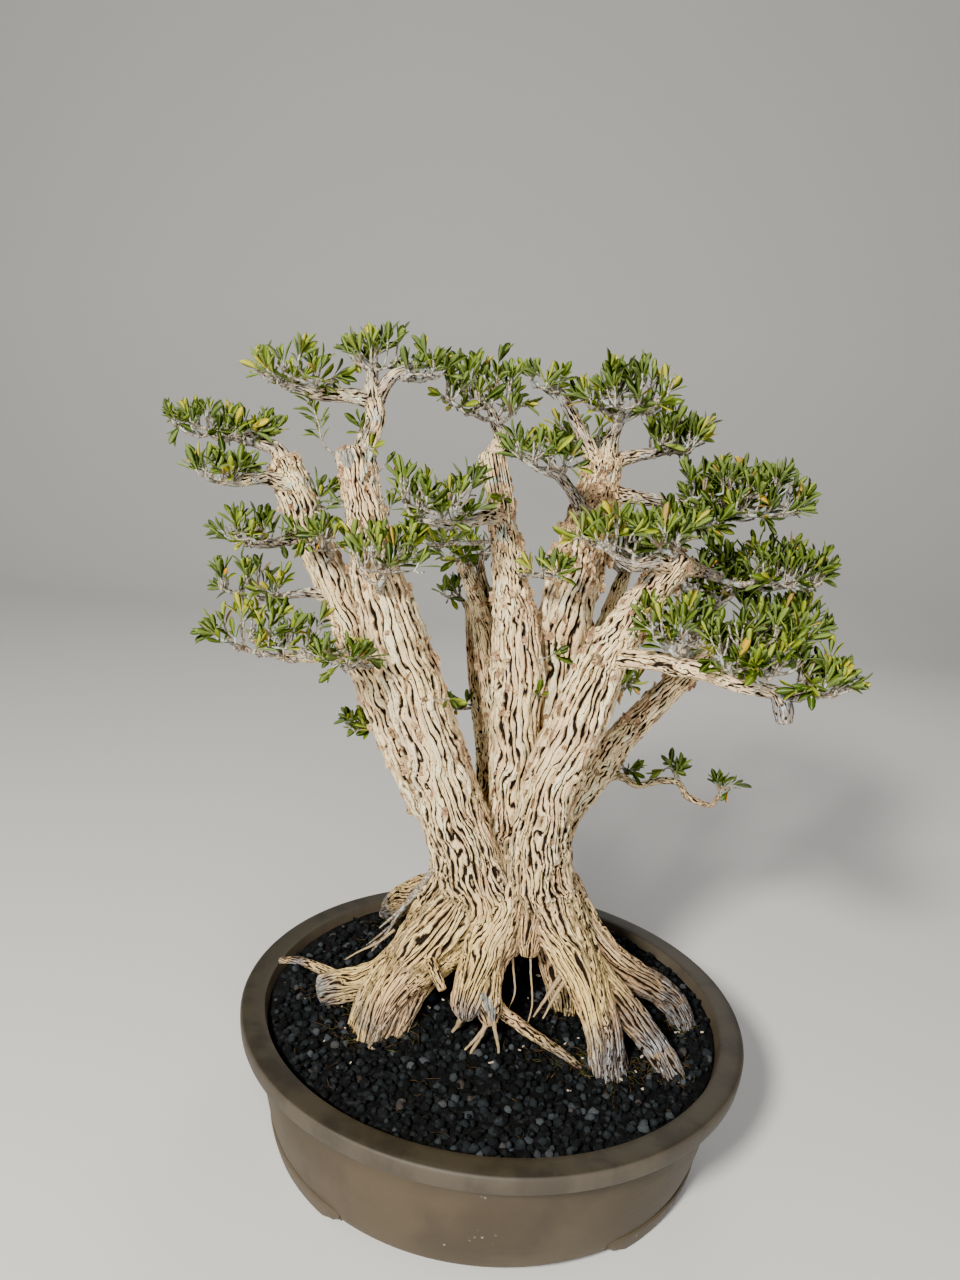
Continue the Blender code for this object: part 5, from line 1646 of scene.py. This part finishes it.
# %% The bed under the grains
SOIL_EDGE, SOIL_CROWN, SOIL_RADIUS = 108.5, 111.5, 196.0
RIM_INSIDE = 199.0
MOUND_HEIGHT, MOUND_REACH = 15.0, 95.0
BED_RINGS, BED_STEPS = 26, 120
BED_LUMP, BED_SUNK, BED_TONE = 1.6, 1.5, 0.12
BED_SIDE = ((190.3, 90.0), (185.0, 58.0), (175.8, 29.5), (164.0, 19.5))


def soil_height(x, y):
    """The grit's surface: nearly level, and heaped up under the tree."""
    share = min(1.0, math.hypot(x, y) / RIM_INSIDE)
    mound = MOUND_HEIGHT * math.exp(-(x * x + y * y) / MOUND_REACH ** 2)
    return SOIL_CROWN + (SOIL_EDGE - SOIL_CROWN) * share * share + mound


def lava_finish():
    lava = Finish("black_lava_grit", 0.92, 0.25)
    place = lava.place()
    colour = lava.ramp(lava.stored("tone"), [
        (0.0, (0.002, 0.0024, 0.003)), (0.50, (0.006, 0.0070, 0.0085)), (0.85, (0.016, 0.020, 0.023)),
        (0.95, (0.056, 0.063, 0.071)), (1.0, (0.040, 0.026, 0.016))])
    # Grey patches, partly dust on the grains and partly a painted sheen.
    dust_and_painted_sheen = lava.mask(lava.noise(place, 210.0, 3.0), 0.52, 0.72)
    colour = lava.mix(lava.both(dust_and_painted_sheen, 0.35), colour, (0.050, 0.052, 0.057))
    lava.colour(colour)
    pores = lava.bump(lava.cells(place, 900.0), 0.0008, 0.9)
    lava.bump(lava.noise(place, 480.0, 4.0, 0.7), 0.0008, 0.8, pores)
    return lava.material


LAVA = lava_finish()


def make_bed():
    points = [(0.0, 0.0, soil_height(0, 0))]
    for radius in np.linspace(0.0, SOIL_RADIUS, BED_RINGS)[1:]:
        for c, s in circle(BED_STEPS):
            x, y = radius * c, radius * s
            lump = BED_LUMP * noise.noise(Vector((x / 9, y / 9, 3.1)))
            points.append((x, y, soil_height(x, y) - BED_SUNK + lump))
    points += [(radius * c, radius * s, height) for radius, height in BED_SIDE for c, s in circle(BED_STEPS)]
    last = len(points) - BED_STEPS
    faces = [(0, 1 + step, 1 + (step + 1) % BED_STEPS) for step in range(BED_STEPS)]
    for low in range(1, last, BED_STEPS):
        for step in range(BED_STEPS):
            after, below = (step + 1) % BED_STEPS, low + BED_STEPS
            faces.append((low + step, below + step, below + after, low + after))
    faces.append(tuple(range(last, len(points))))
    bed = add_piece("grit_bed", points, faces, [LAVA], ("soil",))
    store(bed.data, "tone", "FLOAT", np.full(len(points), BED_TONE))
    print("bed:", triangles(bed), "triangles")


make_bed()

# %% [markdown]
# ## Thousands of grains
# The grains are set out on a loose triangular grid, a few millimetres apart, and a second,
# finer batch lies on top. None is set where the wood passes through the grit.

# %% Rock shapes and grains
ROCK_SHAPES, ROCK_CORNERS = 32, 24
SPIRAL_TURN, ABOUT_A_TURN = 2.4, 6.28
GRAIN_STEP, ROW_SHARE, GRAIN_SHIFT = 7.4, 0.866, 2.2
TOP_GRAINS, TOP_REACH = 1000, 194
SUNK_SHARE, WOOD_OVERLAP = 0.35, 1.0
WOOD_LOOKED_AT = 135


def rock_shape(draw):
    """A hull round points of a lumpy ball."""
    work = bmesh.new()
    for index in range(ROCK_CORNERS):
        height = 1 - 2 * (index + 0.5) / ROCK_CORNERS
        angle = SPIRAL_TURN * index + draw.uniform(-0.45, 0.45)
        ring = math.sqrt(1 - height * height)
        reach = draw.uniform(0.80, 1.10)
        work.verts.new((reach * ring * math.cos(angle), reach * ring * math.sin(angle), reach * height))
    hull = bmesh.ops.convex_hull(work, input=work.verts)
    bmesh.ops.delete(work, geom=[v for v in hull["geom_interior"] if isinstance(v, bmesh.types.BMVert)],
                     context="VERTS")
    work.verts.index_update()
    points = np.array([v.co for v in work.verts])
    faces = [tuple(v.index for v in face.verts) for face in work.faces]
    work.free()
    return points, faces


def wood_near_soil():
    """(x, y, radius) of every stem and root where it passes the grit's surface."""
    spots = []
    for route in (*STEMS.values(), *ROOTS.values(), BRANCHES["limb_twig"]):
        spots += [tuple(row) for row in smooth_route(route, RING_STEP) if row[2] < WOOD_LOOKED_AT]
    return np.array(spots)


def rotation(angle, axis):
    return np.array(Matrix.Rotation(angle, 3, axis))


def grain_spots(draw):
    """(x, y, size, rise) of the grid of grains and of the finer ones on top."""
    spots = []
    rows = int(SOIL_RADIUS / (GRAIN_STEP * ROW_SHARE)) + 1
    for row in range(-rows, rows + 1):
        for column in range(-rows, rows + 1):
            x = (column + 0.5 * (row % 2)) * GRAIN_STEP + draw.uniform(-GRAIN_SHIFT, GRAIN_SHIFT)
            y = row * GRAIN_STEP * ROW_SHARE + draw.uniform(-GRAIN_SHIFT, GRAIN_SHIFT)
            spots.append((x, y, draw.uniform(2.8, 5.4), draw.uniform(-3.2, 1.8)))
    for index in range(TOP_GRAINS):
        angle, reach = draw.uniform(0, 2 * math.pi), TOP_REACH * math.sqrt(draw.random())
        x, y = reach * math.cos(angle), reach * math.sin(angle)
        spots.append((x, y, draw.uniform(1.6, 4.4), draw.uniform(0.8, 3.6)))
    return spots


def scatter_grains(wood):
    draw = random.Random(21)
    shapes = [rock_shape(draw) for index in range(ROCK_SHAPES)]
    batch, tones = Batch(), []
    for x, y, size, rise in grain_spots(draw):
        z = soil_height(x, y) + rise - size * SUNK_SHARE
        gap = (np.linalg.norm(wood[:, :3] - (x, y, z), axis=1) - wood[:, 3]).min()
        if math.hypot(x, y) + size > SOIL_RADIUS or gap < -WOOD_OVERLAP:
            continue
        shape, hull = shapes[draw.randrange(ROCK_SHAPES)]
        stretch = np.array((draw.uniform(0.8, 1.2), draw.uniform(0.8, 1.1), draw.uniform(0.75, 1.0)))
        turn = rotation(draw.uniform(0, ABOUT_A_TURN), "Z") @ rotation(draw.uniform(0, ABOUT_A_TURN), "X")
        batch.add((shape * stretch * size) @ turn + (x, y, z), hull)
        tones.append(np.full(len(shape), draw.random() ** 1.3))
    grains = batch.piece("grit_grains", [LAVA], (), "black_lava_grit")
    store(grains.data, "tone", "FLOAT", np.concatenate(tones))
    print("grains:", len(tones), "with", triangles(grains), "triangles")


WOOD_SPOTS = wood_near_soil()
scatter_grains(WOOD_SPOTS)

# %% [markdown]
# ## Small things on the grit
# Thin roots hang from the wood into the grains, dead splinters stand along the trunk's left
# flank, dry strands of moss lie where they dried, and flakes of bark have dropped. They
# break the edge between the wood and the black grit, as they do on the real plant.

# %% Fine roots, dry moss and bark flakes
FINE_ROOTS = (
    ((-5, -80, 148, 3.6), (-9, -83, 136, 2.4), (-14, -84, 124, 1.6), (-20, -86, 111, 1.0)),
    ((-2, -82, 146, 2.2), (2, -84, 132, 1.5), (5, -83, 120, 1.2), (5, -84, 109, 0.9)),
    ((-8, -82, 138, 1.8), (-16, -86, 128, 1.4), (-24, -86, 117, 0.9)),
    ((-26, -76, 144, 3.0), (-30, -70, 130, 2.0), (-37, -66, 116, 1.0)),
    ((60, -44, 180, 2.8), (50, -47, 164, 2.2), (42, -51, 150, 1.5), (33, -55, 134, 0.8)),
    ((62, -42, 172, 2.4), (50, -49, 152, 1.6), (41, -56, 134, 0.8)),
    ((10, -38, 190, 1.4), (13, -42, 170, 1.0), (16, -48, 152, 0.8), (12, -54, 140, 0.5)),
    ((26, -38, 190, 1.3), (28, -44, 168, 1.0), (31, -53, 146, 0.8), (28, -60, 128, 0.5)),
    ((-92, 2, 172, 1.4), (-106, 2, 158, 1.1), (-122, -2, 150, 0.8), (-134, 0, 140, 0.5)),
)
SPLINTERS = (
    ((-56, 2, 240, 2.0), (-66, 0, 226, 3.0), (-78, 10, 202, 3.2), (-90, 18, 177, 2.6),
     (-103, 28, 150, 1.8), (-114, 34, 130, 0.9)),
    ((-60, 4, 228, 2.0), (-72, 4, 212, 2.6), (-86, 10, 190, 2.2), (-96, 16, 168, 1.4),
     (-102, 18, 152, 0.7)),
    ((-64, 10, 220, 2.0), (-80, 16, 192, 2.2), (-92, 26, 166, 1.6), (-106, 34, 144, 0.7)),
    ((-82, 12, 194, 1.4), (-96, 12, 178, 1.1), (-106, 10, 168, 0.5)),
    ((-92, 22, 170, 1.2), (-108, 24, 152, 0.9), (-118, 24, 142, 0.5)),
    ((-104, 30, 148, 1.0), (-120, 36, 132, 0.5)),
)


STRANDS, ANYWHERE = 520, 6
STRAND_BENDS, STRAND_RISE = 4, 3.5
STRAND_REACH, STRAND_LIMIT = 188, 184
DROPPED, DROPPED_LIMIT = 60, 186
DROPPED_RIM = ((-1, -0.6), (0.2, -1), (1, -0.2), (0.7, 0.8), (-0.6, 1))


def beside_wood(draw, nearest, furthest):
    """A place on the grit beside a root or a stem."""
    base = WOOD_SPOTS[draw.randrange(len(WOOD_SPOTS))]
    angle, gap = draw.uniform(0, 2 * math.pi), draw.uniform(nearest, furthest) + base[3]
    return base[0] + gap * math.cos(angle), base[1] + gap * math.sin(angle)


def strand(x, y, draw, length):
    """A short curly line that lies on the grit."""
    heading = draw.uniform(0, 2 * math.pi)
    line = [(x, y, soil_height(x, y) + 1.5)]
    for index in range(STRAND_BENDS):
        heading += draw.uniform(-0.9, 0.9)
        x += math.cos(heading) * length / STRAND_BENDS
        y += math.sin(heading) * length / STRAND_BENDS
        line.append((x, y, soil_height(x, y) + draw.uniform(0.5, STRAND_RISE)))
    return line


def strand_finish():
    dry = Finish("dry_moss", 0.9, 0.2)
    colour = dry.ramp(dry.noise(dry.place(), 60.0, 2.0), [
        (0.30, (0.030, 0.018, 0.010)), (0.50, (0.085, 0.052, 0.024)), (0.60, (0.060, 0.068, 0.018)),
        (0.75, (0.22, 0.15, 0.075))])
    dry.colour(colour)
    return dry.material


def root_finish():
    root = Finish("fine_root", 0.85, 0.2)
    root.colour(root.mix(root.noise(root.place(), 240.0, 3.0), (0.24, 0.15, 0.08), (0.62, 0.47, 0.27)))
    return root.material


def lay_strands():
    draw = random.Random(33)
    batch = Batch()
    for index in range(STRANDS):
        if index % ANYWHERE:
            x, y = beside_wood(draw, 0.5, 14)
        else:
            angle, reach = draw.uniform(0, 2 * math.pi), STRAND_REACH * math.sqrt(draw.random())
            x, y = reach * math.cos(angle), reach * math.sin(angle)
        if math.hypot(x, y) < STRAND_LIMIT:
            line = strand(x, y, draw, draw.uniform(6, 20))
            rows = np.array([(*spot, draw.uniform(0.18, 0.42)) for spot in line])
            batch.add(*tube(rows, 3, draw))
    piece = batch.piece("dry_moss_strands", [strand_finish()], (), "black_lava_grit")
    print("strands:", triangles(piece), "triangles")


def drop_flakes():
    draw = random.Random(34)
    flake = Finish("bark_flake", 0.85, 0.25)
    flake.colour(flake.mix(flake.noise(flake.place(), 90.0), (0.42, 0.30, 0.18), (0.74, 0.66, 0.52)))
    batch = Batch()
    for index in range(DROPPED):
        x, y = beside_wood(draw, 3, 38)
        if math.hypot(x, y) > DROPPED_LIMIT:
            continue
        size = draw.uniform(0.8, 2.6)
        slab = np.array([(sx * size, sy * size * 0.45, sz * 0.35 + 0.15 * sx * sx)
                         for sz in (-1, 1) for sx, sy in DROPPED_RIM])
        turn = rotation(draw.uniform(0, ABOUT_A_TURN), "Z") @ rotation(draw.uniform(-0.5, 0.5), "X")
        spot = (x, y, soil_height(x, y) + draw.uniform(2.2, 3.6))
        batch.add(slab @ turn.T + spot, prism_faces(2, len(DROPPED_RIM)))
    batch.piece("bark_flakes", [flake.material], (), "pale_bark", smooth=False)
    print("dropped flakes:", len(batch.points))


lay_strands()
drop_flakes()
twigs_mesh("fine_roots", FINE_ROOTS, random.Random(35), root_finish(), 3.0)
twigs_mesh("dead_splinters", SPLINTERS, random.Random(36), TWIG_FINISH, 4.0)

# %% [markdown]
# ## Floor, light and camera
# A plain pale floor, one main light from the upper left and two weaker ones show the object
# without adding to it. The camera stands where the photographer stood: close, as high as
# the crown, tilted down twelve degrees and rolled by a few, so the pot seems to lean.

# %% Studio and camera
FLOOR_REACH, FLOOR_BACK, FLOOR_RISE = 6.0, 2.2, 4.0
FLOOR_BEND = 12


def make_floor():
    floor = Finish("studio_floor", 0.9, 0.2)
    floor.shader.inputs["Base Color"].default_value = (0.74, 0.73, 0.71, 1.0)
    side = [(-FLOOR_REACH, 0.0)]
    for step in range(FLOOR_BEND + 1):
        angle = math.pi / 2 * step / FLOOR_BEND
        side.append((FLOOR_BACK + math.sin(angle), 1 - math.cos(angle)))
    side.append((FLOOR_BACK + 1, FLOOR_RISE))
    points = [(x, y, z) for y, z in side for x in (-FLOOR_REACH, FLOOR_REACH)]
    faces = [(2 * row, 2 * row + 1, 2 * row + 3, 2 * row + 2) for row in range(len(side) - 1)]
    mesh = bpy.data.meshes.new("studio_floor")
    mesh.from_pydata(points, [], faces)
    mesh.materials.append(floor.material)
    mesh.shade_smooth()
    linked("studio_floor", mesh)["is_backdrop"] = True


def add_light(name, location, target, size, energy, colour):
    light = bpy.data.lights.new(name, "AREA")
    light.shape = "DISK"
    light.size = size
    light.energy = energy
    light.color = colour
    item = linked(name, light)
    item.location = location
    item.rotation_euler = (Vector(target) - Vector(location)).to_track_quat("-Z", "Y").to_euler()


def light_studio():
    world = bpy.data.worlds.new("studio")
    world.use_nodes = True
    sky = world.node_tree.nodes["Background"].inputs
    sky["Color"].default_value = (0.80, 0.82, 0.85, 1.0)
    sky["Strength"].default_value = 0.36
    bpy.context.scene.world = world
    bpy.context.scene.view_settings.look = "AgX - Punchy"
    add_light("key", (-0.9, -2.0, 1.7), (0, 0, 0.35), 0.36, 200, (1.0, 0.97, 0.89))
    add_light("fill", (0.35, -1.9, 0.75), (0, 0, 0.25), 0.7, 26, (0.95, 0.97, 1.0))
    add_light("rim", (0.7, 1.9, 1.7), (0, 0, 0.45), 1.2, 22, (1.0, 0.98, 0.95))


CAMERA_PLACE = (-0.038, -0.808, 0.615)
CAMERA_DOWN = math.radians(12.2)
CAMERA_ROLL = math.radians(4.8)
FOCAL_PIXELS, PICTURE_HEIGHT, SENSOR = 1000.0, 1280.0, 36.0


def make_camera():
    data = bpy.data.cameras.new("camera")
    data.sensor_width = SENSOR
    data.lens = FOCAL_PIXELS / PICTURE_HEIGHT * SENSOR
    data.clip_start, data.clip_end = 0.02, 40
    camera = linked("camera", data)
    level = Matrix.Rotation(math.radians(90) - CAMERA_DOWN, 4, "X")
    rolled = level @ Matrix.Rotation(CAMERA_ROLL, 4, "Z")
    camera.matrix_world = Matrix.Translation(Vector(CAMERA_PLACE) + POT_AXIS) @ rolled
    bpy.context.scene.camera = camera


make_floor()
light_studio()
make_camera()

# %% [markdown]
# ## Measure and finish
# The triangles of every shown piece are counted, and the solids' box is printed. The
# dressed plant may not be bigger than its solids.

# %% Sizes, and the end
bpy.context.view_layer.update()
total = sum(triangles(piece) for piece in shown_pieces() if piece.type == "MESH")
print("triangles in all:", total)
print("solids' box:", [round(v, 4) for v in (*cad_low, *cad_high)])
